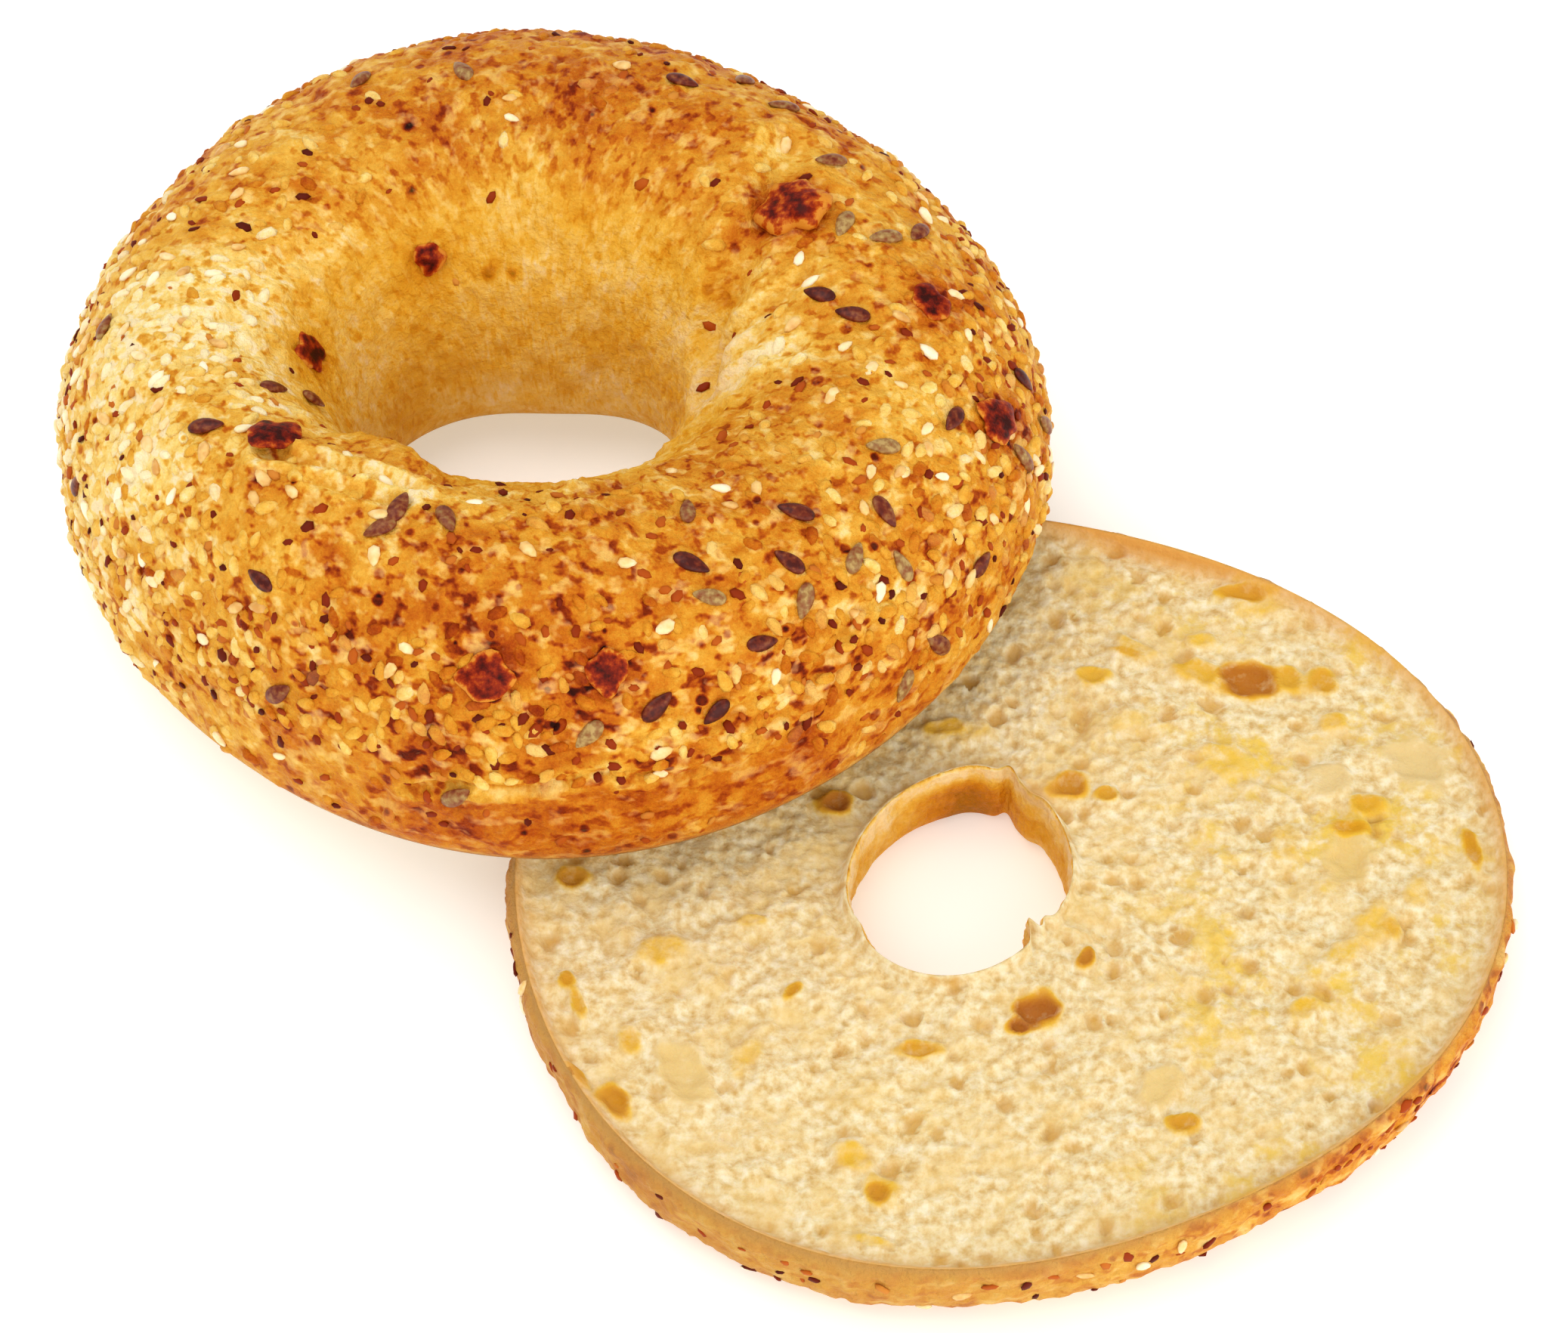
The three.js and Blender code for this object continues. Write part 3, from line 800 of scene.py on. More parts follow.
    bump = add(tree, "ShaderNodeBump", inputs={"Height": grain, "Strength": 0.45, "Distance": 0.0008})
    end_material(tree, {
        "Base Color": colour, "Roughness": 0.85, "Normal": bump, "IOR": 1.4, "Specular IOR Level": 0.2,
        "Subsurface Weight": 0.15, "Subsurface Radius": (1.0, 0.6, 0.25), "Subsurface Scale": 0.002,
    })
    return made


CUT_CRUMB = crumb_material()
print("made", CUT_CRUMB.name)

# %% [markdown]
# ## Swelling, blisters and pores
# A crust's surface follows a rule: it swells a little over the width of a thumb, blisters over
# a few millimetres and wrinkles over one or two. A crumb is cells of gas cut open. Sculpting either by
# hand would take days, so one node tree moves the points along their normals, and its named
# inputs hold the sizes. It runs on both halves, so both are plainly the same bread.


# %% The relief tree
def relief_tree():
    """Moves points out by crust swelling and in by crumb pores and by the placed hollows."""
    tree, given = geometry_tree("bread_relief", [
        ("Swell Size", "Float"), ("Swell Height", "Float"), ("Blister Size", "Float"),
        ("Blister Height", "Float"), ("Wrinkle Size", "Float"), ("Wrinkle Height", "Float"),
        ("Pore Size", "Float"), ("Pore Depth", "Float"), ("Grain Size", "Float"),
        ("Grain Depth", "Float"), ("Ripple Size", "Float"), ("Ripple Depth", "Float"),
        ("Crust Thickness", "Float"), ("Crust", "Material"), ("Crumb", "Material")])
    place = add(tree, "GeometryNodeInputPosition")
    outward = add(tree, "GeometryNodeInputNormal")
    numbers = {}
    for name in ("crust", "crumb", "hollow"):
        numbers[name] = add(
            tree, "GeometryNodeInputNamedAttribute", inputs={"Name": name}, output="Attribute")

    # The crust swells, blisters and wrinkles outwards
    raised = given["Crust Thickness"]
    for kind in ("Swell", "Blister", "Wrinkle"):
        scale = add(tree, "ShaderNodeMath", {"operation": "DIVIDE"}, {0: 1.0, 1: given[kind + " Size"]})
        noise = add(tree, "ShaderNodeTexNoise", inputs={"Vector": place, "Scale": scale, "Detail": 1.0})
        level = add(tree, "ShaderNodeMath", {"operation": "SUBTRACT"}, {0: noise, 1: 0.5})
        height = add(tree, "ShaderNodeMath", {"operation": "MULTIPLY"}, {
            0: level, 1: given[kind + " Height"]})
        raised = add(tree, "ShaderNodeMath", {"operation": "ADD"}, {0: raised, 1: height})
        if kind == "Blister":
            # What stands up is a little paler
            lump = add(tree, "ShaderNodeMath", {"operation": "MULTIPLY"}, {0: level, 1: -0.12})
    raised = add(tree, "ShaderNodeMath", {"operation": "MULTIPLY"}, {0: raised, 1: numbers["crust"]})

    # Some cells of a bent pattern are open pores, sunk into the crumb
    pore_scale = add(tree, "ShaderNodeMath", {"operation": "DIVIDE"}, {0: 1.0, 1: given["Pore Size"]})
    bent = add(tree, "ShaderNodeTexNoise", inputs={"Vector": place, "Scale": pore_scale}, output="Color")
    bend = add(tree, "ShaderNodeVectorMath", {"operation": "MULTIPLY"}, {0: bent, 1: (0.002, 0.002, 0.002)})
    bent_place = add(tree, "ShaderNodeVectorMath", {"operation": "ADD"}, {0: place, 1: bend})
    cells = {"Vector": bent_place, "Scale": pore_scale}
    cell = add(tree, "ShaderNodeTexVoronoi", inputs=cells, output="Distance")
    lot = add(tree, "ShaderNodeTexVoronoi", inputs=cells, output="Color")
    chance = add(tree, "ShaderNodeSeparateXYZ", inputs={"Vector": lot}, output="X")
    reach = add(tree, "ShaderNodeMapRange", inputs={
        "Value": chance, "From Min": 0.45, "From Max": 1.0, "To Min": 0.0, "To Max": 0.62})
    within = add(tree, "ShaderNodeMath", {"operation": "SUBTRACT"}, {0: reach, 1: cell})
    pore_and_shade = add(tree, "ShaderNodeMapRange", inputs={
        "Value": within, "From Min": 0.0, "From Max": 0.3, "To Min": 0.0, "To Max": 1.0})
    sunk = add(tree, "ShaderNodeMath", {"operation": "MULTIPLY"}, {0: pore_and_shade, 1: given["Pore Depth"]})
    for kind in ("Grain", "Ripple"):
        scale = add(tree, "ShaderNodeMath", {"operation": "DIVIDE"}, {0: 1.0, 1: given[kind + " Size"]})
        noise = add(tree, "ShaderNodeTexNoise", inputs={
            "Vector": place, "Scale": scale, "Detail": 2.0, "Distortion": 0.6})
        worn = add(tree, "ShaderNodeMath", {"operation": "MULTIPLY"}, {0: noise, 1: given[kind + " Depth"]})
        sunk = add(tree, "ShaderNodeMath", {"operation": "ADD"}, {0: sunk, 1: worn})
    sunk = add(tree, "ShaderNodeMath", {"operation": "MULTIPLY"}, {0: sunk, 1: numbers["crumb"]})
    sunk = add(tree, "ShaderNodeMath", {"operation": "ADD"}, {0: sunk, 1: numbers["hollow"]})

    # Every point moves along its normal, and the materials get their numbers
    height = add(tree, "ShaderNodeMath", {"operation": "SUBTRACT"}, {0: raised, 1: sunk})
    offset = add(tree, "ShaderNodeVectorMath", {"operation": "SCALE"}, {"Vector": outward, "Scale": height})
    # The pore pattern is also stored, so that the crumb material paints shade into the pores
    painted_pore_shade = add(tree, "ShaderNodeMath", {"operation": "MULTIPLY"}, {0: pore_and_shade, 1: 0.75})
    mesh = given["Geometry"]
    for name, value in (("lump", lump), ("pore_and_shade", painted_pore_shade)):
        mesh = add(tree, "GeometryNodeStoreNamedAttribute", {"data_type": "FLOAT", "domain": "POINT"}, {
            "Geometry": mesh, "Name": name, "Value": value})
    mesh = add(tree, "GeometryNodeSetPosition", inputs={"Geometry": mesh, "Offset": offset})
    mesh = add(tree, "GeometryNodeSetMaterial", inputs={"Geometry": mesh, "Material": given["Crust"]})
    cut = add(tree, "FunctionNodeCompare", {"operation": "GREATER_THAN"}, {
        "A": numbers["crumb"], "B": 0.02})
    finish_tree(tree, mesh, given["Crumb"], cut)
    return tree


RELIEF = relief_tree()
RELIEF_SIZES = {
    "Swell Size": 13 * MM, "Swell Height": 1.6 * MM,
    "Blister Size": 3.6 * MM, "Blister Height": 1.2 * MM,
    "Wrinkle Size": 1.7 * MM, "Wrinkle Height": 1.1 * MM,
    "Pore Size": 2.7 * MM, "Pore Depth": 0.8 * MM,
    "Grain Size": 1.5 * MM, "Grain Depth": 1.0 * MM,
    "Ripple Size": 5.0 * MM, "Ripple Depth": 2.4 * MM,
    "Crust Thickness": 0.15 * MM, "Crust": BAKED_CRUST, "Crumb": CUT_CRUMB,
}
print("relief tree:", len(RELIEF.nodes), "nodes")


def relieved(name, grid, numbers):
    """One half of the bread: its grid, moved by the relief tree."""
    steps = np.linalg.norm(np.diff(grid, axis=1), axis=-1).mean(0)
    plain = ring_object(name + "_plain", grid, numbers, np.concatenate([[0], np.cumsum(steps)]))
    piece = run_tree(plain, RELIEF, RELIEF_SIZES, name)
    bpy.data.objects.remove(plain)
    return piece


# %% The two halves
crown = relieved("crown_bread", crown_grid, crown_numbers)
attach(crown, "root")
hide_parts("crown_half")

heel = relieved("heel_bread", heel_grid, heel_numbers)
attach(heel, "root")
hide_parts("heel_half")

# %% [markdown]
# ## Flax seeds and toasted onion
# A flax seed is a flat drop, rounded behind and nearly pointed in front, with a hard glossy
# husk. Onion flakes scorch to dark red blisters. The CAD model says where each one lies and
# which way it points, so the long, broad and thin directions are read from its points. Each
# finer shape is then set down on the finished crust and pressed in by a third, as if baked on.


# %% Finding the crust and a CAD piece's directions
def crust_finder(piece):
    """A search tree that finds the nearest point of a finished crust."""
    faces = [tuple(face.vertices) for face in piece.data.polygons]
    return BVHTree.FromPolygons([Vector(p) for p in read_points(piece.data)], faces)


def directions(points, outward):
    """A flat piece's long, broad and outward directions; the long one points to its narrow end."""
    spread = points - points.mean(0)
    long = np.linalg.svd(spread, full_matrices=False)[2][0]
    if np.sum((spread @ long) ** 3) < 0:
        long = -long
    long = long - outward * (long @ outward)
    long /= np.linalg.norm(long)
    return long, np.cross(outward, long), outward


crown_finder = crust_finder(crown)
print("faces to search on the crown:", len(crown.data.polygons))


# %% Joining many small closed shapes into one piece
def ball_faces(turns, levels):
    """The faces of a ball with a point at each pole, for points listed from the top down."""
    last = turns * (levels - 1) + 1
    faces = []
    for i in range(turns):
        after = (i + 1) % turns
        faces.append((0, 1 + i, 1 + after))
        for j in range(levels - 2):
            here, below = 1 + j * turns, 1 + (j + 1) * turns
            faces.append((here + i, below + i, below + after, here + after))
        bottom = 1 + (levels - 2) * turns
        faces.append((bottom + i, last, bottom + after))
    return faces


def ball_points(turns, levels):
    """Points on a unit ball, from the top pole down in rings to the bottom pole."""
    points = [(0, 0, 1)]
    for j in range(1, levels):
        fall = math.pi * j / levels
        reach = math.sin(fall)
        for i in range(turns):
            turn = 2 * math.pi * i / turns
            points.append((reach * math.cos(turn), reach * math.sin(turn), math.cos(fall)))
    points.append((0, 0, -1))
    return np.array(points)


def joined_piece(name, shapes, faces, finish, tints):
    """One mesh from several shapes with the same faces. tints: one for each, or for each point."""
    count = len(shapes[0])
    all_faces = [tuple(k * count + v for v in face) for k in range(len(shapes)) for face in faces]
    mesh = bpy.data.meshes.new(name)
    mesh.from_pydata(np.concatenate(shapes), [], all_faces)
    mesh.polygons.foreach_set("use_smooth", np.ones(len(mesh.polygons), bool))
    mesh.materials.append(finish)
    tint_rows = np.reshape(tints, (len(shapes), -1))
    store_attribute(mesh, "tint", np.broadcast_to(tint_rows, (len(shapes), count)))
    piece = bpy.data.objects.new(name, mesh)
    bpy.context.scene.collection.objects.link(piece)
    print(name, "holds", len(shapes), "shapes and", sum(len(f) - 2 for f in all_faces), "triangles")
    return piece


SEAT_RADIUS = 2.5 * MM  # a seed rests on the lie of the crust this far round it, not on one bump


def set_down(node):
    """Where a CAD piece lies on the finished crust: its middle and its three directions."""
    foot = crown_finder.find_nearest(Vector(middle(node)))[0]
    normals = [found[1] for found in crown_finder.find_nearest_range(foot, SEAT_RADIUS)]
    outward = np.array(sum(normals, Vector()).normalized())
    points = read_points(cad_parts[node].data)
    long, broad, up = directions(points, outward)
    length = np.ptp((points - points.mean(0)) @ long)
    return np.array(foot), long, broad, up, length


# %% Flax husk
def flax_material():
    """Hard flax husk, smooth and glossy: from purple-brown to grey-brown."""
    made, tree = start_material("glossy_flax_husk")
    place = add(tree, "ShaderNodeTexCoord", output="Object")
    tint = add(tree, "ShaderNodeAttribute", {"attribute_name": "tint"}, output="Fac")
    mottle = add(tree, "ShaderNodeTexNoise", inputs={"Vector": place, "Scale": 1 / 0.0008, "Detail": 2.0})
    shade = add(tree, "ShaderNodeMapRange", inputs={
        "Value": mottle, "From Min": 0.3, "From Max": 0.7, "To Min": -0.3, "To Max": 0.3})
    total = add(tree, "ShaderNodeMath", {"operation": "ADD"}, {0: tint, 1: shade})
    colour = add(tree, "ShaderNodeValToRGB", inputs={"Fac": total}, output="Color")
    set_ramp(colour, [
        (0.0, "#450f08"), (0.3, "#6a2410"), (0.55, "#874a24"), (0.8, "#97703f"), (1.0, "#b39358")])
    bump = add(tree, "ShaderNodeBump", inputs={"Height": mottle, "Strength": 0.3, "Distance": 0.0002})
    end_material(tree, {
        "Base Color": colour, "Roughness": 0.38, "Normal": bump, "IOR": 1.5,
        "Specular IOR Level": 0.18, "Coat Weight": 0.05, "Coat Roughness": 0.15,
    })
    return made


# %% Flax seeds
FLAX_STEPS = (18, 11)  # round the seed and from top to bottom
FLAX_WIDTH = 2.3 * MM
FLAX_THICKNESS = 1.2 * MM
FLAX_LIFT = 0.2 * MM
FLAX_DROOP = 0.10 * MM  # its two ends follow the crust down
dice = np.random.default_rng(14)
drop = ball_points(*FLAX_STEPS)
drop_faces = ball_faces(*FLAX_STEPS)
seeds = []
for node in FLAX_NODES:
    foot, long, broad, up, length = set_down(node)
    size = dice.uniform(0.82, 0.98)
    x = drop[:, 0]
    taper = 1 - 0.30 * x - 0.12 * x ** 2
    y = drop[:, 1] * FLAX_WIDTH / 2 * size * taper
    z = drop[:, 2] * FLAX_THICKNESS / 2 * size * taper + FLAX_LIFT - FLAX_DROOP * x ** 2
    seeds.append(foot + np.outer(x * length / 2 * size, long) + np.outer(y, broad) + np.outer(z, up))
seed_tints = dice.uniform(0.05, 0.85, len(seeds))
flax = joined_piece("flax_seeds", seeds, drop_faces, flax_material(), seed_tints)
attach(flax, "root")
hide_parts(*FLAX_NODES)


# %% Toasted onion
def onion_material():
    """Dried onion scorched in the oven: glassy dark red, from black-brown to orange."""
    made, tree = start_material("scorched_dried_onion")
    place = add(tree, "ShaderNodeTexCoord", output="Object")
    tint = add(tree, "ShaderNodeAttribute", {"attribute_name": "tint"}, output="Fac")
    mottle = add(tree, "ShaderNodeTexNoise", inputs={
        "Vector": place, "Scale": 1 / 0.0016, "Detail": 4.0, "Roughness": 0.6})
    shade = add(tree, "ShaderNodeMapRange", inputs={
        "Value": mottle, "From Min": 0.35, "From Max": 0.65, "To Min": -0.4, "To Max": 0.4})
    total = add(tree, "ShaderNodeMath", {"operation": "ADD"}, {0: tint, 1: shade})
    colour = add(tree, "ShaderNodeValToRGB", inputs={"Fac": total}, output="Color")
    set_ramp(colour, [
        (0.0, "#340802"), (0.3, "#661203"), (0.55, "#8e2604"), (0.8, "#b44c0a"), (1.0, "#d08428")])
    bump = add(tree, "ShaderNodeBump", inputs={"Height": mottle, "Strength": 0.5, "Distance": 0.0005})
    end_material(tree, {
        "Base Color": colour, "Roughness": 0.45, "Normal": bump, "IOR": 1.45,
        "Specular IOR Level": 0.1, "Coat Weight": 0.03, "Coat Roughness": 0.2,
    })
    return made


# %% Onion flakes
FLAKE_STEPS = (26, 12)  # round the flake and from top to bottom
BLISTER_SPREAD = 1.25  # the first flake swelled into a blister, wider than its own scrap of onion
FLAKE_THICKNESS = 1.1 * MM
BLISTER_THICKNESS = 3.4 * MM
FLAKE_LIFT = 0.15 * MM
FLAKE_LONG_HALF = 0.54  # from its middle, as a share of the CAD flake's length
FLAKE_BROAD_HALF = 0.50
disc = ball_points(*FLAKE_STEPS)
disc_faces = ball_faces(*FLAKE_STEPS)
turn = np.arctan2(disc[:, 1], disc[:, 0])
flakes = []
for node in FLAKE_NODES:
    foot, long, broad, up, length = set_down(node)
    thickness = FLAKE_THICKNESS
    if node == FLAKE_NODES[0]:
        length = length * BLISTER_SPREAD
        thickness = BLISTER_THICKNESS
    ragged = 1 + sum(
        dice.uniform(0.03, 0.12) * np.cos(k * turn + dice.uniform(0, 6.3)) for k in (2, 3, 4, 6))
    puff = 1 + 0.35 * np.cos(2.2 * disc[:, 0] + dice.uniform(0, 6.3)) * np.cos(2.6 * disc[:, 1])
    x = disc[:, 0] * length * FLAKE_LONG_HALF * ragged
    y = disc[:, 1] * length * FLAKE_BROAD_HALF * ragged
    z = disc[:, 2] * thickness / 2 * puff + FLAKE_LIFT
    flakes.append(foot + np.outer(x, long) + np.outer(y, broad) + np.outer(z, up))
flake_tints = dice.uniform(0.10, 0.34, len(flakes))
flake_tints[0] = 0.45  # the blister, a clearer red
# Towards its rim a flake is thin and takes the crust's own colour
rim_tint = 0.55 * ramp(0.6, 1.0, np.hypot(disc[:, 0], disc[:, 1]))
flake_tints = flake_tints[:, None] + rim_tint[None, :]
onion = joined_piece("toasted_onion_flakes", flakes, disc_faces, onion_material(), flake_tints)
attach(onion, "root")
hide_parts(*FLAKE_NODES)

# %% [markdown]
# ## Sesame, bran and onion crumbs
# Hundreds of small things lie on the crust: sesame dusted on before baking, sesame pressed
# under the skin by the boiling water, and scraps of bran and onion. They are alike, so one
# node tree builds the grain, scatters it over the crust with a smallest distance between
# neighbours, turns each one and realises the copies. The density comes from the numbers stored
# on the crust, so grains stay off the flax, thin out in the hole and crowd on the left.


# %% The scatter tree
def scatter_tree():
    """Scatters a drop-shaped grain over a surface, by a density stored on it."""
    tree, given = geometry_tree("grain_scatter", [
        ("Length", "Float"), ("Width", "Float"), ("Thickness", "Float"), ("Taper", "Float"),
        ("Roughness", "Float"), ("Spacing", "Float"), ("Per Square Metre", "Float"),
        ("Density Name", "String"), ("Least Scale", "Float"), ("Most Scale", "Float"),
        ("Tilt", "Float"), ("Sink", "Float"), ("Least Tint", "Float"), ("Most Tint", "Float"),
        ("Sides", "Int"), ("Rings", "Int"), ("Seed", "Int"), ("Finish", "Material")])
    # One grain: a ball drawn out, narrowed towards one end and made ragged
    ball = add(tree, "GeometryNodeMeshUVSphere", inputs={
        "Segments": given["Sides"], "Rings": given["Rings"], "Radius": 1.0}, output="Mesh")
    place = add(tree, "GeometryNodeInputPosition")
    x = add(tree, "ShaderNodeSeparateXYZ", inputs={"Vector": place}, output="X")
    narrow = add(tree, "ShaderNodeMath", {"operation": "MULTIPLY"}, {0: x, 1: given["Taper"]})
    narrow = add(tree, "ShaderNodeMath", {"operation": "SUBTRACT"}, {0: 1.0, 1: narrow})
    drawn_in = add(tree, "ShaderNodeCombineXYZ", inputs={"X": 1.0, "Y": narrow, "Z": narrow})
    sizes = add(tree, "ShaderNodeCombineXYZ", inputs={
        "X": given["Length"], "Y": given["Width"], "Z": given["Thickness"]})
    halves = add(tree, "ShaderNodeVectorMath", {"operation": "SCALE"}, {"Vector": sizes, "Scale": 0.5})
    ragged = add(tree, "ShaderNodeTexNoise", inputs={"Vector": place, "Scale": 1.3, "Detail": 1.0})
    ragged = add(tree, "ShaderNodeMath", {"operation": "SUBTRACT"}, {0: ragged, 1: 0.5})
    ragged = add(tree, "ShaderNodeMath", {"operation": "MULTIPLY"}, {0: ragged, 1: given["Roughness"]})
    ragged = add(tree, "ShaderNodeMath", {"operation": "ADD"}, {0: ragged, 1: 1.0})
    shaped = add(tree, "ShaderNodeVectorMath", {"operation": "MULTIPLY"}, {0: place, 1: drawn_in})
    shaped = add(tree, "ShaderNodeVectorMath", {"operation": "MULTIPLY"}, {0: shaped, 1: halves})
    shaped = add(tree, "ShaderNodeVectorMath", {"operation": "SCALE"}, {"Vector": shaped, "Scale": ragged})
    grain = add(tree, "GeometryNodeSetPosition", inputs={"Geometry": ball, "Position": shaped})
    grain = add(tree, "GeometryNodeSetShadeSmooth", inputs={"Geometry": grain})

    # Its copies: each turned its own way, scaled, tinted and let down into the crust
    density = add(tree, "GeometryNodeInputNamedAttribute", inputs={
        "Name": given["Density Name"]}, output="Attribute")
    scattered = {"Mesh": given["Geometry"], "Distance Min": given["Spacing"],
                 "Density Max": given["Per Square Metre"], "Density Factor": density, "Seed": given["Seed"]}
    points = add(tree, "GeometryNodeDistributePointsOnFaces", {"distribute_method": "POISSON"}, scattered)
    upright = points.node.outputs["Rotation"]
    minus_tilt = add(tree, "ShaderNodeMath", {"operation": "MULTIPLY"}, {0: given["Tilt"], 1: -1.0})
    low_turn = add(tree, "ShaderNodeCombineXYZ", inputs={"X": minus_tilt, "Y": minus_tilt, "Z": 0.0})
    high_turn = add(tree, "ShaderNodeCombineXYZ", inputs={
        "X": given["Tilt"], "Y": given["Tilt"], "Z": 2 * math.pi})
    turn = add(tree, "FunctionNodeRandomValue", {"data_type": "FLOAT_VECTOR"}, {
        "Min": low_turn, "Max": high_turn, "Seed": given["Seed"]}, "Value")
    spin = add(tree, "FunctionNodeEulerToRotation", inputs={"Euler": turn})
    turned = add(tree, "FunctionNodeRotateRotation", {"rotation_space": "LOCAL"}, {
        "Rotation": upright, "Rotate By": spin})
    scale = add(tree, "FunctionNodeRandomValue", {"data_type": "FLOAT"}, {
        "Min": given["Least Scale"], "Max": given["Most Scale"], "Seed": given["Seed"]}, "Value")
    tint_seed = add(tree, "ShaderNodeMath", {"operation": "ADD"}, {0: given["Seed"], 1: 1.0})
    tint = add(tree, "FunctionNodeRandomValue", {"data_type": "FLOAT"}, {
        "Min": given["Least Tint"], "Max": given["Most Tint"], "Seed": tint_seed}, "Value")
    copies = add(tree, "GeometryNodeInstanceOnPoints", inputs={
        "Points": points, "Instance": grain, "Rotation": turned, "Scale": scale})
    down = add(tree, "ShaderNodeMath", {"operation": "MULTIPLY"}, {0: given["Sink"], 1: -1.0})
    drop = add(tree, "ShaderNodeCombineXYZ", inputs={"Z": down})
    copies = add(tree, "GeometryNodeTranslateInstances", inputs={
        "Instances": copies, "Translation": drop, "Local Space": True})
    copies = add(tree, "GeometryNodeStoreNamedAttribute", {"data_type": "FLOAT", "domain": "INSTANCE"}, {
        "Geometry": copies, "Name": "tint", "Value": tint})
    finish_tree(tree, copies, given["Finish"])
    return tree


SCATTER = scatter_tree()
print("scatter tree:", len(SCATTER.nodes), "nodes")


# %% Hulled sesame
def sesame_material():
    """Hulled sesame, toasted in the oven: ivory to gold, waxy."""
    made, tree = start_material("toasted_hulled_sesame")
    place = add(tree, "ShaderNodeTexCoord", output="Object")
    tint = add(tree, "ShaderNodeAttribute", {"attribute_name": "tint"}, output="Fac")
    mottle = add(tree, "ShaderNodeTexNoise", inputs={"Vector": place, "Scale": 1 / 0.0012, "Detail": 2.0})
    shade = add(tree, "ShaderNodeMapRange", inputs={
        "Value": mottle, "From Min": 0.3, "From Max": 0.7, "To Min": -0.18, "To Max": 0.18})
    total = add(tree, "ShaderNodeMath", {"operation": "ADD"}, {0: tint, 1: shade})
    colour = add(tree, "ShaderNodeValToRGB", inputs={"Fac": total}, output="Color")
    set_ramp(colour, [(0.0, "#fff0cf"), (0.35, "#f9dfaa"), (0.7, "#ecbf70"), (1.0, "#d19542")])
    end_material(tree, {
        "Base Color": colour, "Roughness": 0.42, "IOR": 1.46,
        "Subsurface Weight": 0.2, "Subsurface Radius": (1.0, 0.7, 0.35), "Subsurface Scale": 0.001,
        "Coat Weight": 0.15, "Coat Roughness": 0.25,
    })
    return made


HULLED_SESAME = sesame_material()
print("made", HULLED_SESAME.name)


# %% Bran and onion crumbs
def bran_material():
    """Scraps of bran and onion, burnt in the oven: rust red to near black, dull."""
    made, tree = start_material("burnt_bran")
    tint = add(tree, "ShaderNodeAttribute", {"attribute_name": "tint"}, output="Fac")
    colour = add(tree, "ShaderNodeValToRGB", inputs={"Fac": tint}, output="Color")
    set_ramp(colour, [
        (0.0, "#4c0e02"), (0.3, "#7a2204"), (0.6, "#9e3a06"), (0.85, "#b85a14"), (1.0, "#d08a34")])
    end_material(tree, {"Base Color": colour, "Roughness": 0.55, "IOR": 1.45, "Specular IOR Level": 0.12})
    return made


BURNT_BRAN = bran_material()
print("made", BURNT_BRAN.name)

# %% Scattering them
# Lengths in mm, density for each square metre, tilt in radians; sink is how far a grain goes down.
GRAINS = {
    "fresh_sesame": dict(length=2.8, width=1.55, thickness=0.9, taper=0.32, rough=0.0, gap=2.7, density=70000,
                         scale=(0.72, 1.08), tilt=0.25, sink=-0.10, tint=(0.0, 1.0), sides=8, rings=6,
                         seed=3, finish=HULLED_SESAME),
    "baked_sesame": dict(length=2.9, width=1.6, thickness=1.3, taper=0.25, rough=0.3, gap=1.7, density=230000,
                         scale=(0.7, 1.1), tilt=0.2, sink=0.15, tint=(-0.22, 0.06), sides=8, rings=6,
                         seed=8, finish=BAKED_CRUST),
    "bran": dict(length=1.7, width=1.1, thickness=0.6, taper=0.1, rough=1.6, gap=1.5, density=90000,
                 scale=(0.6, 1.3), tilt=0.3, sink=0.0, tint=(0.0, 1.0), sides=6, rings=4,
                 seed=21, finish=BURNT_BRAN),
}


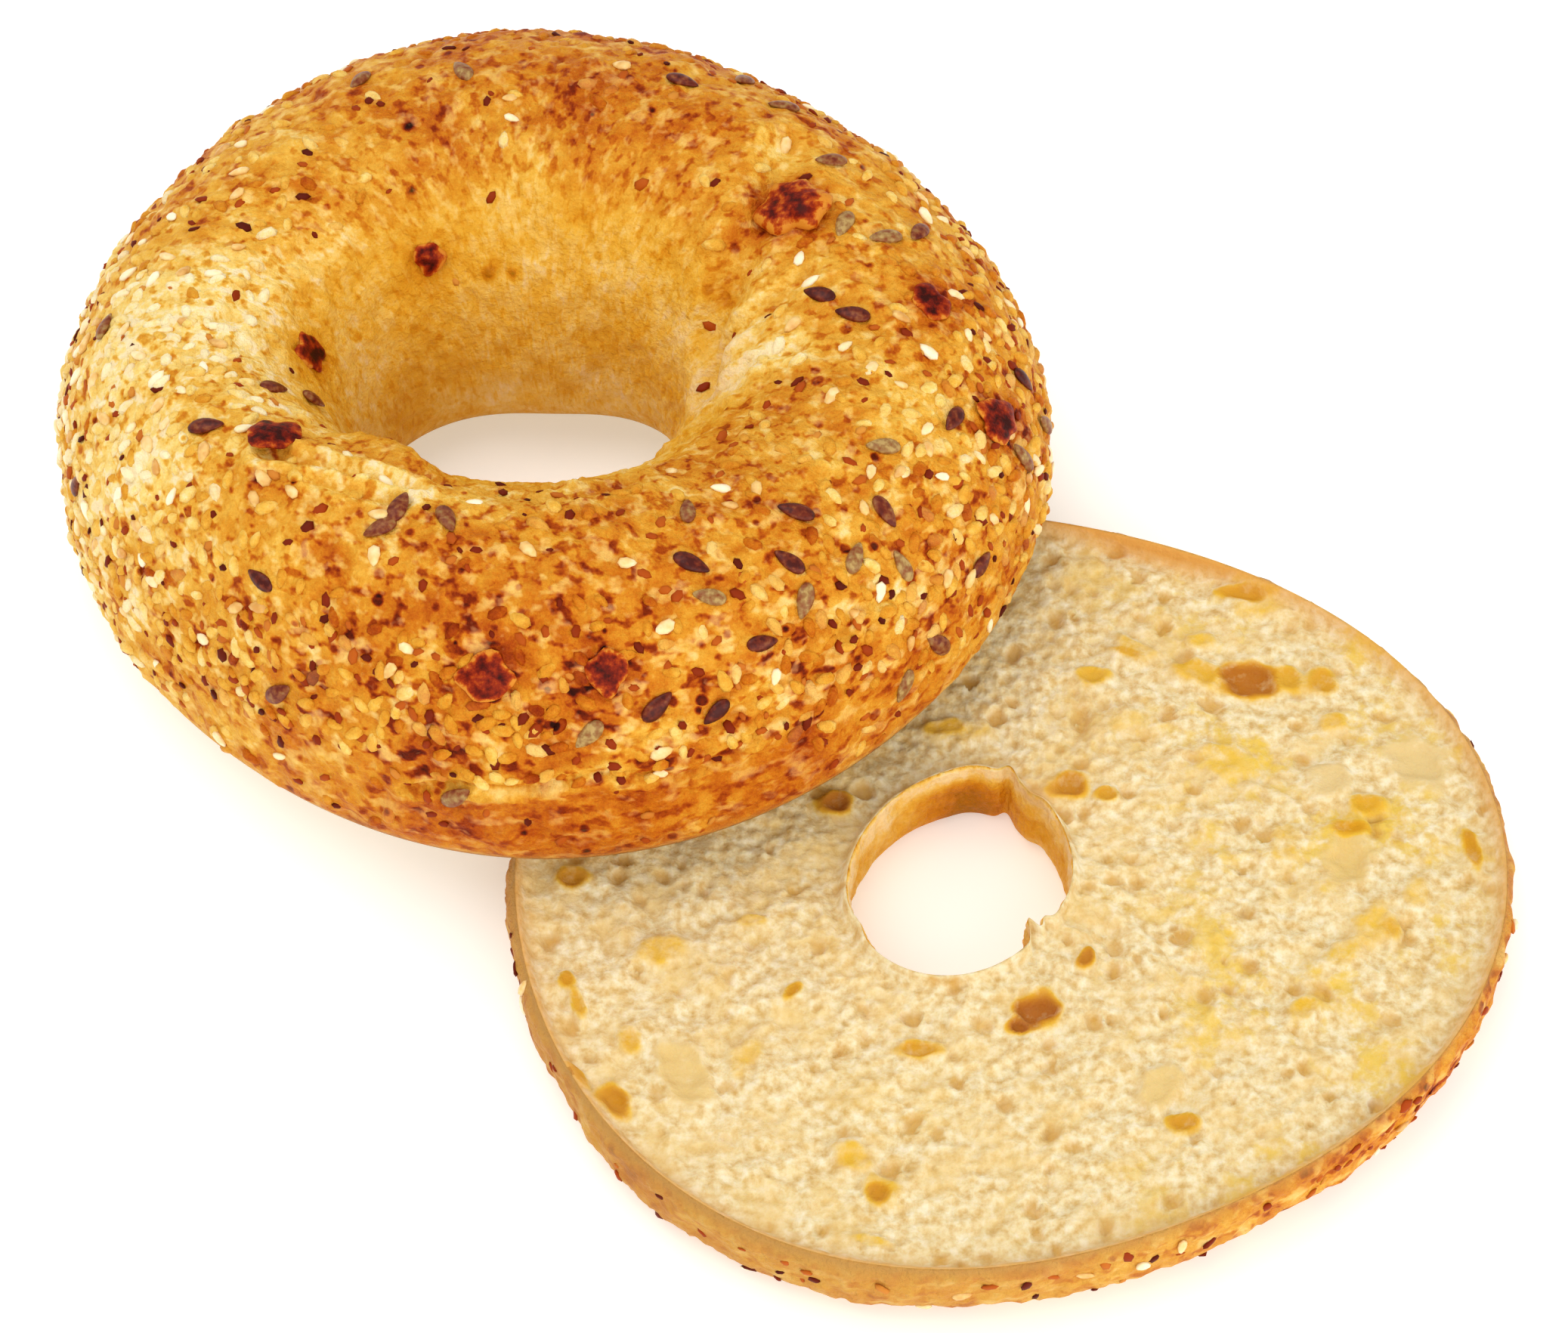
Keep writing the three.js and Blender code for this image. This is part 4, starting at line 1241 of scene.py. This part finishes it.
def scattered(name, base, kind, density_name, share):
    """Scatters one kind of grain over a piece, where a stored density says."""
    grain = GRAINS[kind]
    return run_tree(base, SCATTER, {
        "Length": grain["length"] * MM, "Width": grain["width"] * MM,
        "Thickness": grain["thickness"] * MM, "Taper": grain["taper"],
        "Roughness": grain["rough"], "Spacing": grain["gap"] * MM,
        "Per Square Metre": grain["density"] * share, "Density Name": density_name,
        "Least Scale": grain["scale"][0], "Most Scale": grain["scale"][1],
        "Least Tint": grain["tint"][0], "Most Tint": grain["tint"][1],
        "Tilt": grain["tilt"], "Sink": grain["sink"] * MM, "Sides": grain["sides"],
        "Rings": grain["rings"], "Seed": grain["seed"], "Finish": grain["finish"]}, name)


# Each: the piece's name, the half, the grain, its stored density, its share of that and its slot.
SCATTERED = [
    ("crown_fresh_sesame", crown, "fresh_sesame", "fresh_sesame", 1.0, "sesame_seed"),
    ("crown_baked_sesame", crown, "baked_sesame", "baked_sesame", 1.0, "toasted_crust"),
    ("crown_bran", crown, "bran", "bran", 1.0, "toasted_onion"),
    ("heel_fresh_sesame", heel, "fresh_sesame", "side_seeds", 0.10, "sesame_seed"),
    ("heel_bran", heel, "bran", "side_seeds", 0.45, "toasted_onion"),
]
for name, half, kind, density_name, share, slot in SCATTERED:
    grains = scattered(name, half, kind, density_name, share)
    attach(grains, "root")

# %% [markdown]
# ## The table
# White opal acrylic, lit faintly from below as in a product studio, keeps the eye on the bread
# and its shadows light. It is a stage, so it doesn't count as part of the bagel.

# %% Table
TABLE_SIDE = 6.0
TABLE_TOP = -0.2 * MM  # a little low, so that the two surfaces never share a plane


def table_material():
    """Opal acrylic over lamps: matt white that glows a little, so shadows on it are faint."""
    made, tree = start_material("backlit_opal_acrylic")
    end_material(tree, {
        "Base Color": srgb("#f7f5f1"), "Roughness": 0.9,
        "Emission Color": srgb("#fffdfa"), "Emission Strength": 0.28,
    })
    return made


half_side = TABLE_SIDE / 2
table_mesh = bpy.data.meshes.new("table")
table_corners = [(-half_side, -half_side, TABLE_TOP), (half_side, -half_side, TABLE_TOP),
                 (half_side, half_side, TABLE_TOP), (-half_side, half_side, TABLE_TOP)]
table_mesh.from_pydata(table_corners, [], [(0, 1, 2, 3)])
table_mesh.materials.append(table_material())
table = bpy.data.objects.new("table", table_mesh)
bpy.context.scene.collection.objects.link(table)
print("table top, mm:", TABLE_TOP / MM)

# %% [markdown]
# ## Updating the scene
# The finish must not change the bagel's size. The view layer is updated once more, so that every
# finished piece stands where it was put.

bpy.context.view_layer.update()
